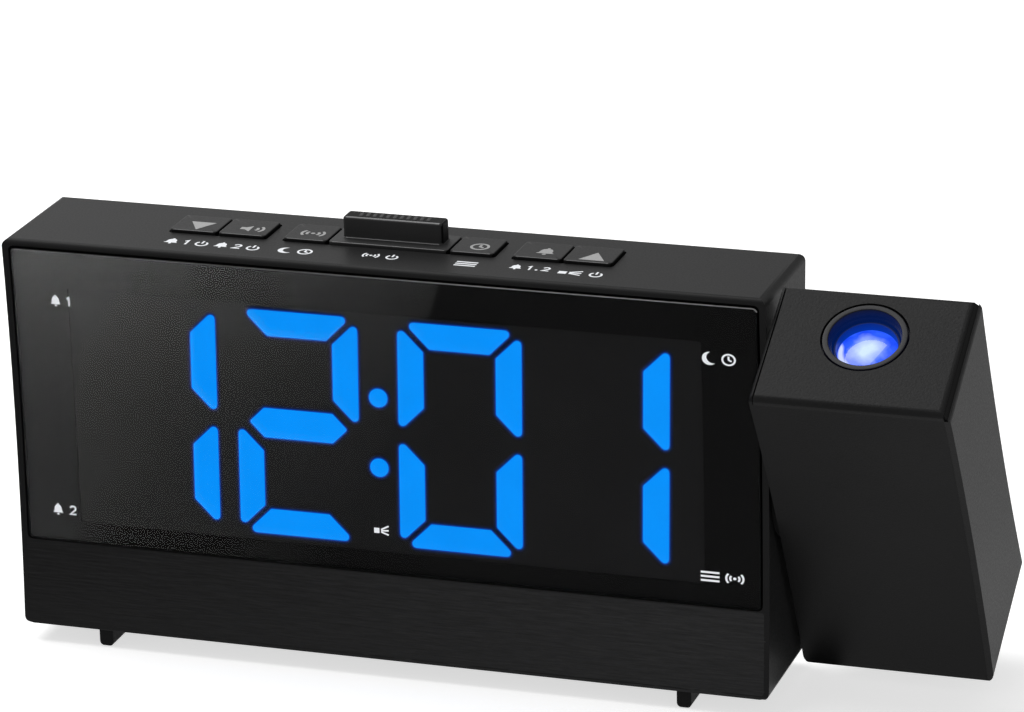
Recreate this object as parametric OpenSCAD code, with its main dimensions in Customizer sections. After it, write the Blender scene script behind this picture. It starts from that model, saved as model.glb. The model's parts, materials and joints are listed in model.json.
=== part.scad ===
// Projection alarm clock: a wide LED clock case with a swivelling projector head.
// Millimetres. +X runs right along the display, +Y to the back, +Z up.
// The origin is on the table, below the middle of the clock.
// u is measured right from the case's left face, v up from the case's underside.

/* [Case] */
// Width of the clock case
body_w = 174; // [165:1:215]
// Height of the clock case, feet left out
body_h = 91.4; // [88:0.2:112]
// Depth of the clock case
body_d = 32.4; // [31.8:0.2:40]
// How far the front and back faces curve in at mid height
case_sag = 1.5; // [1:0.1:2]
// Radius of the case's long edges
edge_r = 1.3; // [0.8:0.1:1.8]
// Thickness of the top, bottom and side walls
wall = 2; // [1.8:0.1:2.4]
// Thickness of the front wall, its rebates included
front_t = 3; // [2.6:0.1:3.2]
// Thickness of the rear cover
cover_t = 2; // [1.6:0.1:2.2]

/* [Feet] */
// Height of the feet below the case
foot_h = 3.8; // [3:0.1:8]
// Width of each foot rail
foot_w = 3.3; // [2.4:0.1:6]
// Length of each foot rail, front to back
foot_len = 26; // [16:1:28]
// Distance from each end of the case to its foot rail
foot_inset = 17.7; // [12:0.1:40]

/* [Window and display] */
// Rim of the case beside and above the window
window_rim = 1.45; // [1.2:0.05:2.5]
// Height of the textured band below the window
band_h = 20.4; // [18:0.1:22]
// Thickness of the window
window_t = 1.2; // [0.8:0.1:1.4]
// Width of the clear area
view_w = 145.1; // [130:0.1:148]
// Height of the clear area
view_h = 55.4; // [54:0.1:56]
// Centre line of the keys and the digits, from the left face
mid_u = 85.4; // [80:0.1:92]
// Height of the clear area's middle above the case's underside
view_v = 52.6; // [52:0.1:53]
// Height of a digit
digit_h = 52.2; // [44:0.1:53]
// Width of a digit
digit_w = 28.2; // [24:0.1:29]
// Width of a digit's bars
bar_w = 5.85; // [4:0.05:6.5]
// Gap between two bars
bar_gap = 1; // [0.6:0.1:1.6]
// Distance from the colon to the nearer digits' middles
near_digit = 18.7; // [17.5:0.1:20]
// Distance between the middles of two neighbouring digits
digit_pitch = 33.1; // [30:0.1:34]
// Diameter of the colon's dots
dot_d = 4.25; // [3:0.05:5.5]

/* [Keys] */
// Width of the four outer keys
pair_key_w = 11.1; // [9:0.1:12.5]
// Width of the two keys beside the snooze bar
inner_key_w = 10.2; // [8:0.1:12]
// Width of the snooze key
snooze_w = 27.5; // [22:0.1:32]
// Depth of the keys, front to back
key_d = 10.5; // [8:0.1:11]
// Distance from the case's front face to the keys
key_front = 13.3; // [12:0.1:13.6]
// Height of the keys above the case's top
key_proud = 0.7; // [0.6:0.05:1.5]
// Gap around each key
key_gap = 0.3; // [0.25:0.05:0.5]
// Space between two groups of keys
group_gap = 4.15; // [3.8:0.05:6]
// Width of the raised snooze bar
bar_len = 23; // [16:0.1:24]
// Depth of the raised snooze bar
bar_d = 4.6; // [3:0.1:6]
// Height of the snooze bar above its key
bar_h = 4.9; // [2:0.1:8]

/* [Projector head] */
// Width of the projector head
head_w = 42.6; // [40:0.1:56]
// Height of the projector head when upright
head_h = 88.9; // [84:0.1:90]
// Depth of the projector head
head_d = 32.2; // [31.6:0.2:34]
// How far the head's front and back faces curve in
head_sag = 1.7; // [1:0.1:1.9]
// Radius of the head's long edges
head_r = 1.6; // [1:0.1:2]
// Thickness of the head's walls
head_wall = 2; // [1.6:0.1:2.2]
// Gap between the case and the head
swivel_gap = 1.5; // [1:0.1:3]
// Tilt of the head towards the front in the rest pose
rest_tilt = 29.4; // [0:0.1:60]
// Outside diameter of the hollow swivel shaft
shaft_d = 10; // [8:0.1:10.4]
// Diameter of the way through the swivel shaft
shaft_bore = 6.4; // [4.4:0.1:7]
// Outside diameter of the focus ring's face
ring_d = 18; // [16:0.1:18.4]
// Inside diameter of the focus ring's face
ring_bore = 15.4; // [14.4:0.1:15.6]
// Distance from the middle of the head back to the lens axis
lens_y = 3.3; // [2:0.1:3.4]
// Distance from the head's inner side to the lens axis
lens_x = 20.6; // [20:0.1:30]

/* [Rear] */
// Diameter of the speaker
speaker_d = 36; // [28:1:38]
// Diameter of a speaker hole
grille_hole = 2.4; // [1.6:0.1:3]
// Diameter of a back-up cell
cell_d = 10.5; // [10:0.1:10.6]
// Length of a back-up cell
cell_len = 44.5; // [40:0.1:45]
// Opening of the power socket
socket_bore = 6; // [5:0.1:6.4]
// Diameter of the power socket's pin
socket_pin = 2; // [1.2:0.1:2.5]
// Width of the USB socket
usb_w = 13.1; // [12:0.1:14]
// Height of the USB socket
usb_h = 5.7; // [5:0.1:6.5]

/* [Fits] */
// Radial clearance of shafts and sliding tubes
run_fit = 0.08; // [0.03:0.01:0.1]
// Gap between panels that don't move
seam = 0.15; // [0.1:0.05:0.25]
// Gap between a moving panel and what surrounds it
door_gap = 0.3; // [0.3:0.05:0.5]

/* [Hidden] */

$fn = 48;
arc_fn = 900;      // facets of the large face curves in a preview
eps = 0.5;         // how far a cut runs past the face it opens

// Colours
case_black = [0.035, 0.035, 0.037];
satin_black = [0.05, 0.05, 0.053];
window_black = [0.01, 0.01, 0.012, 0.6];
board_green = [0.05, 0.22, 0.12];
lit_blue = [0.0, 0.45, 1.0];
unlit_grey = [0.05, 0.05, 0.055];
steel = [0.62, 0.62, 0.64];
nickel = [0.72, 0.72, 0.7];
rubber_black = [0.02, 0.02, 0.02];
clear_glass = [0.75, 0.85, 1.0, 0.4];

// Case frame
x0 = -(body_w + swivel_gap + head_w) / 2;
x1 = x0 + body_w;
yf = -body_d / 2;
yb = body_d / 2;
z0 = foot_h;
zc = z0 + body_h / 2;
case_arc = (body_h * body_h / 4 + case_sag * case_sag) / (2 * case_sag);

// Window and display
window_recess = 0.1;
mask_t = 0.2;
glue = 0.05;                                    // film of glue behind a panel
window_r = 1.3;
window_rebate = window_recess + window_t + mask_t;
view_u = mid_u + 1.25;
digits_u = mid_u + 0.3;
colon_v = 8.1;                                  // height of each colon dot from the digits' middle
housing_face = yf + case_sag + window_rebate + 0.05;
housing_wall = 1.8;
face_plate = 2.4;                               // thickness of the plate that holds the bars
board_t = 1.4;
display_board_y = housing_face + 8.3;
digit_slant = 1.1;
segments_lit = [[0, 1, 1, 0, 0, 0, 0], [1, 1, 0, 1, 1, 0, 1], [1, 1, 1, 1, 1, 1, 0], [0, 1, 1, 0, 0, 0, 0]];
led_size = 2;
end_cut = 0.22;                                 // share of a bar's width cut off its outer corners
middle_extra = 1;                               // how much taller the middle bar is than the others

// Front band
band_margin = 1.2;
band_t = 1;

// Screws
screw_head_r = 2.4;
screw_head_h = 1.6;
screw_r = 1.2;
board_screw_head_r = 1.9;
board_screw_head_h = 1;
board_screw_r = 0.9;
board_screw_len = 5;
well_r = 4;
well_depth = 7.5;
well_floor = 1.5;
post_r = 2.6;
display_post_r = 2.3;
screw_slot = [3, 0.6, 0.8];                     // length, width and depth of each arm of the cross
case_screw_len = 12;
corner_u = 6.6;
corner_v = 7.2;
corner_top_v = body_h - 6.2;
post_root = yf + case_sag + front_t - 1.4;      // posts start inside the front wall
display_post_u = [7, body_w - 7.7];
display_post_v = [view_v - 25.6, view_v + 25.4];

// Keys
key_travel = 0.5;
key_r = 0.8;
key_y0 = yf + key_front;
key_flange_t = 1;
key_flange = 0.8;                               // how far the flange holds under the case's top
key_under = body_h - wall;
key_pin_r = 0.9;
switch_size = 6;
switch_h = 3.4;
switch_bore_r = 1.3;
switch_engage = 1.3;
switch_floor = switch_h - switch_engage - key_travel - 0.8;
key_board_v = key_under - 8;                    // underside of the key board
key_board_t = 1.2;
inner_key_u = snooze_w / 2 + key_gap + inner_key_w / 2;
near_pair_u = inner_key_u + inner_key_w / 2 + group_gap + pair_key_w / 2;
far_pair_u = near_pair_u + pair_key_w + key_gap;
keys = [[-far_pair_u, pair_key_w], [-near_pair_u, pair_key_w], [-inner_key_u, inner_key_w], [0, snooze_w],
    [inner_key_u, inner_key_w], [near_pair_u, pair_key_w], [far_pair_u, pair_key_w]];
snooze_pin = snooze_w / 3;
bar_y0 = key_y0 + 3.6;
key_post_r = 1.5;
key_post_reach = [far_pair_u + pair_key_w / 2 + 2.9, near_pair_u - pair_key_w / 2 - group_gap / 2];
key_post_us = [for (s = [-1, 1], d = key_post_reach) s * d];

// Main board
main_board_y = -1.8;                            // front face
main_u = [mid_u - 29.4, mid_u + 64.6];
main_v = [14, 72];
main_post_r = 2.5;
main_posts = [[main_u[0] + 3.5, main_v[1] - 3.5], [main_u[1] - 3.5, main_v[1] - 3.5],
    [main_u[0] + 3.5, main_v[0] + 3.5], [main_u[1] - 3.5, main_v[0] + 24]];
board_back = main_board_y + board_t;
// Right of and above the board's corner, width, height and thickness
chips = [[14, 40, 14, 14, 2], [36, 42, 10, 8, 1.8], [36, 28, 8, 8, 1.6], [62, 46, 16, 12, 3],
    [56, 30, 6, 5, 1.6]];
// Right of and above the board's corner, radius and length
cans = [[27, 50, 4, 10], [50, 50, 3.2, 8], [76, 34, 3.2, 8]];
crystal_at = [25, 30];
crystal_size = [4.5, 10.4, 3.5];
lead_u = main_u[1] + 0.6;                       // where the swivel's leads leave their plug

// Speaker, sockets and grommet on the rear cover
speaker_u = 30;
speaker_v = body_h / 2;
speaker_seat = yb - case_sag - cover_t - 0.3;
speaker_flange_t = 1;
speaker_screw_ring = speaker_d / 2 + 2.5;
speaker_boss_r = 2.6;
speaker_screw_len = 2.6;
speaker_washer_r = 3;                           // the screw heads hold the speaker's rim
grille_pitch = 3.9;                             // distance between the rings of speaker holes
jack_u = main_u[0] + 13;
jack_depth = 9.5;
jack_nose_r = 4;
usb_u = main_u[0] + 28.6;
socket_v = 22;
socket_face = yb - case_sag - 0.1;
grommet_u = main_u[0] - 4;
grommet_v = 14;
grommet_r = 3;

// Battery bay
bay_wall = 1.2;
bay_len = cell_len + 7.1;
bay_h = 2 * cell_d + 0.6;
bay_u = main_u[1] - bay_len - bay_wall;
bay_v = 10.2;
bay_floor = board_back + 0.6;
cell_y = bay_floor + bay_wall + 0.1 + cell_d / 2;
contact_t = 0.5;
door_lap = 2;                                   // how far the door reaches past the bay
door_u = [bay_u - door_lap, bay_u + bay_len + door_lap];
door_v = [bay_v - door_lap, bay_v + bay_h + door_lap];
door_knuckle_r = cover_t / 2;
door_pin_r = 0.6;
door_pin_len = 0.9;
door_axis_v = door_v[0] + door_knuckle_r;
door_outer_y = yb - case_sag * (1 - pow((door_axis_v - body_h / 2) / (body_h / 2), 2));
door_axis_y = door_outer_y - door_knuckle_r;
grip_r = 3.5;
grip_len = 14;
grip_depth = 1;

// Swivel
shaft_r = shaft_d / 2;
boss_t = 2;
boss_r = shaft_r + 4;
wave_t = 0.6;
retainer_t = 2.2;
retainer_r = shaft_r + 3.5;
stop_r = [boss_r + 0.4, boss_r + 2];
lug_w = 2.4;
shaft_in = wall + boss_t + wave_t + retainer_t + 0.6;
pad_t = 1.6;
flange_t = 1.6;
flange_r = shaft_r + 4.4;
flange_screws_r = shaft_r + 2.4;
lead_r = 1.3;

// Projector head, in a frame at the swivel's centre, x from the head's inner side
hx0 = x1 + swivel_gap;
head_arc = (head_h * head_h / 4 + head_sag * head_sag) / (2 * head_sag);
cover_side_t = 1.4;
groove_w = 0.9;
groove_depth = 2;
plate_t = 2;
plate_inset = 0.9;
head_top = head_h / 2;
ring_gap = 0.4;
ring_flange_r = ring_d / 2 + 1;
ring_land_h = plate_t + 0.2;
ring_flange_h = 1.2;
ring_len = 13;
ring_sleeve_r = ring_bore / 2 - 0.4;            // inside of the ring's sleeve
ring_tube_r = ring_sleeve_r + 1.1;
barrel_r = ring_sleeve_r - run_fit;
barrel_len = 12;
barrel_drop = 3;                                // barrel's top below the head's top in the rest pose
lens_r = barrel_r - 0.7;
lens_h = 4.4;
house_socket_r = ring_tube_r + run_fit;
house_top = head_top - ring_land_h - ring_flange_h - 0.1;
house_step = head_top - ring_len - 1;
house_r = [house_socket_r + 0.95, 8.6];
house_bore_r = 7.6;
house_bottom = -8;
house_base_t = 2;
lamp_board_z = house_bottom - house_base_t;     // top of the lamp board
lamp_post_dx = 12;
lamp_ear = [1.6, 3.5];                          // reach of the lamp house's ears to the front and back
lcd_size = 10.4;
lcd_seat = 8;
condenser_seat = -1;
rib_t = 1.4;
lamp_post_r = 2.5;

// ---------- shared shapes ----------

// A span shrunk by g at both ends, and a span of a given size round its middle
function inset(s, g) = [s[0] + g, s[1] - g];
function span(mid, size) = [mid - size / 2, mid + size / 2];

// Rectangle with round corners, centred
module round_rect(w, h, r) {
    square([w - 2 * r, h], center = true);
    square([w, h - 2 * r], center = true);
    for (x = [-1, 1], y = [-1, 1])
        translate([x * (w / 2 - r), y * (h / 2 - r)]) circle(r = r);
}

// Side outline with faces that curve in, centred
module waisted(d, h, sag, r) {
    arc = (h * h / 4 + sag * sag) / (2 * sag);
    difference() {
        round_rect(d, h, r);
        for (s = [-1, 1])
            translate([s * (d / 2 - sag + arc), 0]) circle(r = arc, $fn = arc_fn);
    }
}

// Side outline run along +X
module extrude_x(len) rotate([90, 0, 90]) linear_extrude(len) children();

module rod_x(r, len) rotate([0, 90, 0]) cylinder(r = r, h = len);
module rod_y(r, len) rotate([-90, 0, 0]) cylinder(r = r, h = len);
module tube(ro, ri, h) difference() {
    cylinder(r = ro, h = h);
    translate([0, 0, -eps]) cylinder(r = ri, h = h + 2 * eps);
}

// Place at u, y, v on the case
module at(u, y, v) translate([x0 + u, y, z0 + v]) children();

// Block given by its low and high corners on the case
module block(u, y, v) at(u[0], y[0], v[0]) cube([u[1] - u[0], y[1] - y[0], v[1] - v[0]]);

// All that lies in front of the front face moved back by t
module ahead(t) translate([x0 - eps, yf + case_sag - case_arc, zc])
    rotate([0, 90, 0]) cylinder(r = case_arc + t, h = body_w + 2 * eps, $fn = arc_fn);

// All that lies behind the back face moved forward by t
module behind(t) mirror([0, 1, 0]) ahead(t);

// Block with round corners, through the front half of the case
module front_prism(u, v, r) at((u[0] + u[1]) / 2, 0, (v[0] + v[1]) / 2)
    rotate([90, 0, 0]) linear_extrude(body_d) round_rect(u[1] - u[0], v[1] - v[0], r);

// Sheet that follows the front face between two depths
module front_sheet(u, v, r, t0, t1) intersection() {
    front_prism(u, v, r);
    difference() {
        ahead(t1);
        ahead(t0);
    }
}

// Sheet that follows the back face between two depths
module back_sheet(u, v, r, t0, t1) mirror([0, 1, 0]) front_sheet(u, v, r, t0, t1);

// Place in the head's own frame, then tilt to the rest pose
module on_head() translate([hx0, 0, zc]) rotate([rest_tilt, 0, 0]) children();

// Place on the lens axis of the head
module on_lens(z) on_head() translate([lens_x, lens_y, z]) children();

// ---------- case ----------

window_u = [window_rim, body_w - window_rim];
window_v = [band_h, body_h - window_rim];
band_u = [band_margin, body_w - band_margin];
band_v = [band_margin, band_h - 0.3];
cover_u = [wall / 2, body_w - wall / 2];
cover_v = [wall / 2, body_h - wall / 2];
view_us = [view_u - view_w / 2, view_u + view_w / 2];
view_vs = [view_v - view_h / 2, view_v + view_h / 2];

// Posts for the rear cover's screws and for the display board
module case_posts() {
    for (u = [corner_u, body_w - corner_u], v = [corner_v, corner_top_v])
        at(u, post_root, v) rod_y(post_r, yb - well_depth - well_floor - post_root);
    for (u = display_post_u, v = display_post_v)
        at(u, post_root, v) rod_y(display_post_r, display_board_y - post_root);
}

// Posts under the top wall for the key board
module key_posts() for (d = key_post_us)
    at(mid_u + d, key_y0 + key_d / 2, key_board_v + key_board_t)
        cylinder(r = key_post_r, h = key_under - key_board_v - key_board_t + eps);

// Boss and half ring of the swivel on the inner face of the right wall
module swivel_boss() {
    ring_len = boss_t + wave_t + retainer_t - 0.2;
    translate([x1 - wall - boss_t, 0, zc]) rod_x(boss_r, boss_t + eps);
    intersection() {
        translate([x1 - wall - ring_len, 0, zc]) difference() {
            rod_x(stop_r[1], ring_len + eps);
            translate([-eps, 0, 0]) rod_x(stop_r[0], ring_len + 3 * eps);
        }
        translate([x1 - 20, -stop_r[1] - 1, zc + lug_w / 2 + 0.15])
            cube([20, 2 * stop_r[1] + 2, stop_r[1]]);
    }
}

// Openings in the top wall, one for each group of keys
module key_openings() {
    groups = [[-far_pair_u - pair_key_w / 2, -near_pair_u + pair_key_w / 2],
        [-inner_key_u - inner_key_w / 2, inner_key_u + inner_key_w / 2],
        [near_pair_u - pair_key_w / 2, far_pair_u + pair_key_w / 2]];
    for (g = groups)
        at(mid_u + (g[0] + g[1]) / 2, key_y0 + key_d / 2, key_under - eps) linear_extrude(wall + 2 * eps)
            round_rect(g[1] - g[0] + 2 * key_gap, key_d + 2 * key_gap, key_r + key_gap);
}

// Outline of a foot rail seen from the front, its tenon included
module foot_outline() {
    tenon = wall * 0.6;
    translate([0, foot_h / 2]) round_rect(foot_w, foot_h, 1);
    translate([-foot_w / 2, foot_h / 2]) square([foot_w, foot_h / 2]);
    translate([-foot_w / 2 + 0.6, foot_h - eps]) square([foot_w - 1.2, tenon + eps]);
}

module foot(u) translate([x0 + u, yf + 1 + foot_len, 0]) rotate([90, 0, 0]) difference() {
    linear_extrude(foot_len) foot_outline();
    for (n = [1 : 5])
        translate([-foot_w, -0.01, n * foot_len / 6 - 0.5]) cube([2 * foot_w, 0.3, 1]);
}

module front_case() color(case_black) difference() {
    union() {
        difference() {
            translate([x0, 0, zc]) extrude_x(body_w) waisted(body_d, body_h, case_sag, edge_r);
            difference() {
                block([wall, body_w - wall], [yf - eps, yb + eps], [wall, body_h - wall]);
                ahead(front_t);
            }
        }
        case_posts();
        key_posts();
        swivel_boss();
    }
    front_sheet(window_u, window_v, window_r, -3, window_rebate);
    front_sheet(band_u, band_v, 0.6, -3, band_t);
    front_sheet(view_us, view_vs, 0.5, -3, front_t + 3);
    back_sheet(cover_u, cover_v, 0.4, -3, cover_t);
    key_openings();
    translate([x1 - wall - boss_t - eps, 0, zc]) rod_x(shaft_r + run_fit, wall + boss_t + 2 * eps);
    for (u = [foot_inset + foot_w / 2, body_w - foot_inset - foot_w / 2]) foot(u);
    for (u = [corner_u, body_w - corner_u], v = [corner_v, corner_top_v])
        at(u, post_root + 1.5, v) rod_y(screw_r, body_d);
    for (u = display_post_u, v = display_post_v)
        at(u, display_board_y + board_t - board_screw_len, v) rod_y(board_screw_r, body_d);
    for (d = key_post_us)
        at(mid_u + d, key_y0 + key_d / 2, key_board_v) cylinder(r = board_screw_r, h = board_screw_len);
}

module front_window() color(window_black)
    front_sheet(inset(window_u, seam), inset(window_v, seam), window_r - seam,
        window_recess, window_recess + window_t);

module window_mask() color(case_black) difference() {
    front_sheet(inset(window_u, seam), inset(window_v, seam), window_r - seam,
        window_recess + window_t + glue / 2, window_rebate - glue / 2);
    front_sheet(view_us, view_vs, 0.5, 0, front_t);
}

module front_band() color(satin_black)
    front_sheet(inset(band_u, seam), inset(band_v, seam), 0.6 - seam, glue, band_t - glue);

module foot_left() color(rubber_black) foot(foot_inset + foot_w / 2);
module foot_right() color(rubber_black) foot(body_w - foot_inset - foot_w / 2);

module rear_cover() color(case_black) difference() {
    union() {
        back_sheet(inset(cover_u, seam), inset(cover_v, seam), 0.4, 0, cover_t - glue);
        difference() {
            union() {
                for (u = [corner_u, body_w - corner_u], v = [corner_v, corner_top_v])
                    at(u, yb - well_depth - well_floor, v) rod_y(well_r, well_depth + well_floor);
                for (p = main_posts) at(p[0], board_back, p[1]) rod_y(main_post_r, yb - board_back);
                at(speaker_u, speaker_seat, speaker_v) rotate([-90, 0, 0])
                    tube(speaker_d / 2 + 0.3, speaker_d / 2 - 2, yb - speaker_seat);
                for (a = [90, 210, 330])
                    at(speaker_u + speaker_screw_ring * cos(a), speaker_seat - speaker_flange_t,
                        speaker_v + speaker_screw_ring * sin(a)) rod_y(speaker_boss_r, yb - speaker_seat);
            }
            behind(0.6);
        }
    }
    for (u = [corner_u, body_w - corner_u], v = [corner_v, corner_top_v]) {
        at(u, yb - well_depth, v) rod_y(screw_head_r + 0.4, well_depth + eps);
        at(u, yb - well_depth - well_floor - eps, v) rod_y(screw_r, well_floor + 2 * eps);
    }
    for (p = main_posts) at(p[0], board_back - eps, p[1]) rod_y(board_screw_r, board_screw_len);
    for (a = [90, 210, 330])
        at(speaker_u + speaker_screw_ring * cos(a), speaker_seat - speaker_flange_t - eps,
            speaker_v + speaker_screw_ring * sin(a)) rod_y(board_screw_r, speaker_screw_len + 2 * eps);
    at(speaker_u, speaker_seat - speaker_flange_t - eps, speaker_v)
        rod_y(speaker_d / 2 + 0.1, speaker_flange_t + eps);
    for (ring = [0 : 3], k = [0 : max(0, 6 * ring - 1)])
        at(speaker_u + ring * grille_pitch * cos(60 * k / max(1, ring)), speaker_seat,
            speaker_v + ring * grille_pitch * sin(60 * k / max(1, ring))) rod_y(grille_hole / 2, body_d);
    at(jack_u, board_back, socket_v) rod_y(jack_nose_r + 0.1, body_d);
    block(inset(span(usb_u, usb_w), -seam), [board_back, yb + 1], inset(span(socket_v, usb_h), -seam));
    at(grommet_u, board_back, grommet_v) rod_y(grommet_r, body_d);
    back_sheet(inset(door_u, -door_gap), inset(door_v, -door_gap), 0.5, -3, cover_t + 3);
    at(door_u[0] - door_gap - door_pin_len + 0.1, door_axis_y, door_axis_v)
        rod_x(door_pin_r + run_fit, door_u[1] - door_u[0] + 2 * (door_gap + door_pin_len - 0.1));
}

// ---------- display ----------

// One of the seven bars of a digit, drawn round the digit's middle; top is the outer side
module end_bar(len) {
    cut = bar_w * end_cut;
    polygon([[-len / 2 + cut, bar_w], [len / 2 - cut, bar_w], [len / 2, bar_w - cut],
        [len / 2 - bar_w + cut, 0], [-len / 2 + bar_w - cut, 0], [-len / 2, bar_w - cut]]);
}
module middle_bar(len) {
    h = bar_w + middle_extra;
    polygon([[-len / 2 + h / 2, h / 2], [len / 2 - h / 2, h / 2], [len / 2, 0],
        [len / 2 - h / 2, -h / 2], [-len / 2 + h / 2, -h / 2], [-len / 2, 0]]);
}
bar_reach = bar_gap * 1.41 + bar_w * 0.44;      // what the corner between two bars takes up
flat_len = digit_w - bar_reach * 1.35;
tall_len = digit_h / 2 - bar_reach * 1.03;
module bar(n) {
    if (n == 0) translate([0, digit_h / 2 - bar_w]) end_bar(flat_len);
    if (n == 3) translate([0, -digit_h / 2 + bar_w]) rotate(180) end_bar(flat_len);
    if (n == 6) middle_bar(flat_len);
    if (n == 1 || n == 2)
        translate([digit_w / 2 - bar_w, (n == 1 ? 1 : -1) * digit_h / 4]) rotate(-90) end_bar(tall_len);
    if (n == 4 || n == 5)
        translate([-digit_w / 2 + bar_w, (n == 5 ? 1 : -1) * digit_h / 4]) rotate(90) end_bar(tall_len);
}

digit_us = [for (k = [-1, 0]) k * digit_pitch - near_digit, for (k = [0, 1]) k * digit_pitch + near_digit];
slant_matrix = [[1, tan(digit_slant), 0, 0], [0, 1, 0, 0], [0, 0, 1, 0]];

// Bars of the display that are lit or unlit, as an outline
module bars(lit) for (d = [0 : 3], n = [0 : 6])
    if ((segments_lit[d][n] == 1) == lit) translate([digit_us[d], 0]) multmatrix(slant_matrix) bar(n);

module dots() for (s = [-1, 1]) translate([s * colon_v * tan(digit_slant), s * colon_v]) circle(d = dot_d);

// Run an outline drawn on the display back from its face
module through_display(y, len) at(digits_u, y + len, view_v) rotate([90, 0, 0]) linear_extrude(len) children();

housing_u = inset(view_us, -housing_wall);
housing_v = inset(view_vs, -housing_wall);
housing_step = yf + case_sag + front_t + 0.1;

module display_housing() color(unlit_grey) difference() {
    union() {
        block(inset(view_us, 0.3), [housing_face, housing_step + eps], inset(view_vs, 0.3));
        block(housing_u, [housing_step, display_board_y], housing_v);
    }
    block(view_us, [housing_face + face_plate, display_board_y + eps], view_vs);
    through_display(housing_face - eps, face_plate + 2 * eps) bars(true);
    through_display(housing_face - eps, face_plate + 2 * eps) bars(false);
    through_display(housing_face - eps, face_plate + 2 * eps) dots();
}

module lit_segments() color(lit_blue) through_display(housing_face, face_plate) {
    bars(true);
    dots();
}

module unlit_segments() color(unlit_grey) through_display(housing_face, face_plate) bars(false);

display_board_u = [4, body_w - 4.7];
display_board_v = [view_v - 30, view_v + 29.6];
hinge_notch = [housing_u[1] + 0.8, stop_r[1] + 1];

module display_pcb() color(board_green) difference() {
    block(display_board_u, [display_board_y, display_board_y + board_t], display_board_v);
    block([hinge_notch[0], body_w], [display_board_y - 1, display_board_y + board_t + 1],
        span(body_h / 2, 2 * hinge_notch[1]));
    for (u = display_post_u, v = display_post_v)
        at(u, display_board_y - eps, v) rod_y(board_screw_r, board_t + 1);
}

// Middle of each bar, on the digit
bar_mid = [[0, 0.5 * digit_h - 3], [0.5 * digit_w - 3, 0.25 * digit_h], [0.5 * digit_w - 3, -0.25 * digit_h],
    [0, 3 - 0.5 * digit_h], [3 - 0.5 * digit_w, -0.25 * digit_h], [3 - 0.5 * digit_w, 0.25 * digit_h], [0, 0]];

module display_leds() color(clear_glass) through_display(display_board_y - 1, 1) {
    for (d = digit_us, m = bar_mid) translate([d + m[0] - led_size / 2, m[1] - led_size / 2]) square(led_size);
    for (s = [-1, 1]) translate([-led_size / 2, s * colon_v - led_size / 2]) square(led_size);
}

// ---------- boards ----------

module main_pcb() color(board_green) difference() {
    block(main_u, [main_board_y, board_back], main_v);
    for (p = main_posts) at(p[0], main_board_y - eps, p[1]) rod_y(board_screw_r, board_t + 1);
}

// Chips, the radio module and the two headers, on the back of the main board
module main_chips() color(case_black) {
    for (c = chips)
        block(span(main_u[0] + c[0], c[2]), [board_back, board_back + c[4]], span(main_v[0] + c[1], c[3]));
    block([main_u[1] - 7, lead_u], [board_back, board_back + 5.4], span(body_h / 2, 6));
}

module capacitors() color(satin_black) for (c = cans)
    at(main_u[0] + c[0], board_back, main_v[0] + c[1]) rod_y(c[2], c[3]);

module crystal() color(nickel)
    at(main_u[0] + crystal_at[0], board_back, main_v[0] + crystal_at[1]) rotate([-90, 0, 0])
        linear_extrude(crystal_size[2])
            round_rect(crystal_size[0], crystal_size[1], crystal_size[0] / 2 - 0.15);

module button_pcb() color(board_green) difference() {
    block(span(mid_u, 2 * key_post_us[2] + 6), [key_y0 - 0.2, key_y0 + key_d + 1.4],
        [key_board_v, key_board_v + key_board_t]);
    for (d = key_post_us)
        at(mid_u + d, key_y0 + key_d / 2, key_board_v - eps) cylinder(r = board_screw_r, h = key_board_t + 1);
}

switch_us = concat([for (n = [0, 1, 2, 4, 5, 6]) keys[n][0]], [-snooze_pin, snooze_pin]);

module tact_switches() color(nickel) for (d = switch_us)
    at(mid_u + d, key_y0 + key_d / 2, key_board_v + key_board_t) difference() {
        translate([-switch_size / 2, -switch_size / 2, 0]) cube([switch_size, switch_size, switch_h]);
        translate([0, 0, switch_floor]) cylinder(r = switch_bore_r, h = switch_h);
    }

// ---------- keys ----------

key_base_v = key_under - key_flange_t;
pin_bottom_v = key_board_v + key_board_t + switch_h - switch_engage;

// A key's cap with its flange; pins lists where its switch pins are
module key(n, pins) at(mid_u + keys[n][0], key_y0 + key_d / 2, 0) {
    w = keys[n][1];
    translate([0, 0, key_base_v]) linear_extrude(body_h + key_proud - key_base_v) round_rect(w, key_d, key_r);
    translate([-w / 2 + 0.6, -key_d / 2 - key_gap - key_flange, key_base_v])
        cube([w - 1.2, key_d + 2 * (key_gap + key_flange), key_flange_t]);
    for (p = pins) translate([p, 0, pin_bottom_v]) cylinder(r = key_pin_r, h = key_base_v - pin_bottom_v + eps);
}

module button_down() color(satin_black) key(0, [0]);
module button_volume() color(satin_black) key(1, [0]);
module button_radio() color(satin_black) key(2, [0]);
module button_time() color(satin_black) key(4, [0]);
module button_alarm() color(satin_black) key(5, [0]);
module button_up() color(satin_black) key(6, [0]);
module snooze_bar() color(satin_black) {
    cut = 0.5;
    key(3, [-snooze_pin, snooze_pin]);
    at(mid_u - bar_len / 2, bar_y0, body_h + key_proud - eps) extrude_x(bar_len)
        polygon([[0, 0], [0, bar_h + eps - cut], [cut, bar_h + eps], [bar_d - cut, bar_h + eps],
            [bar_d, bar_h + eps - cut], [bar_d, 0]]);
}

// ---------- speaker, sockets and grommet ----------

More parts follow.
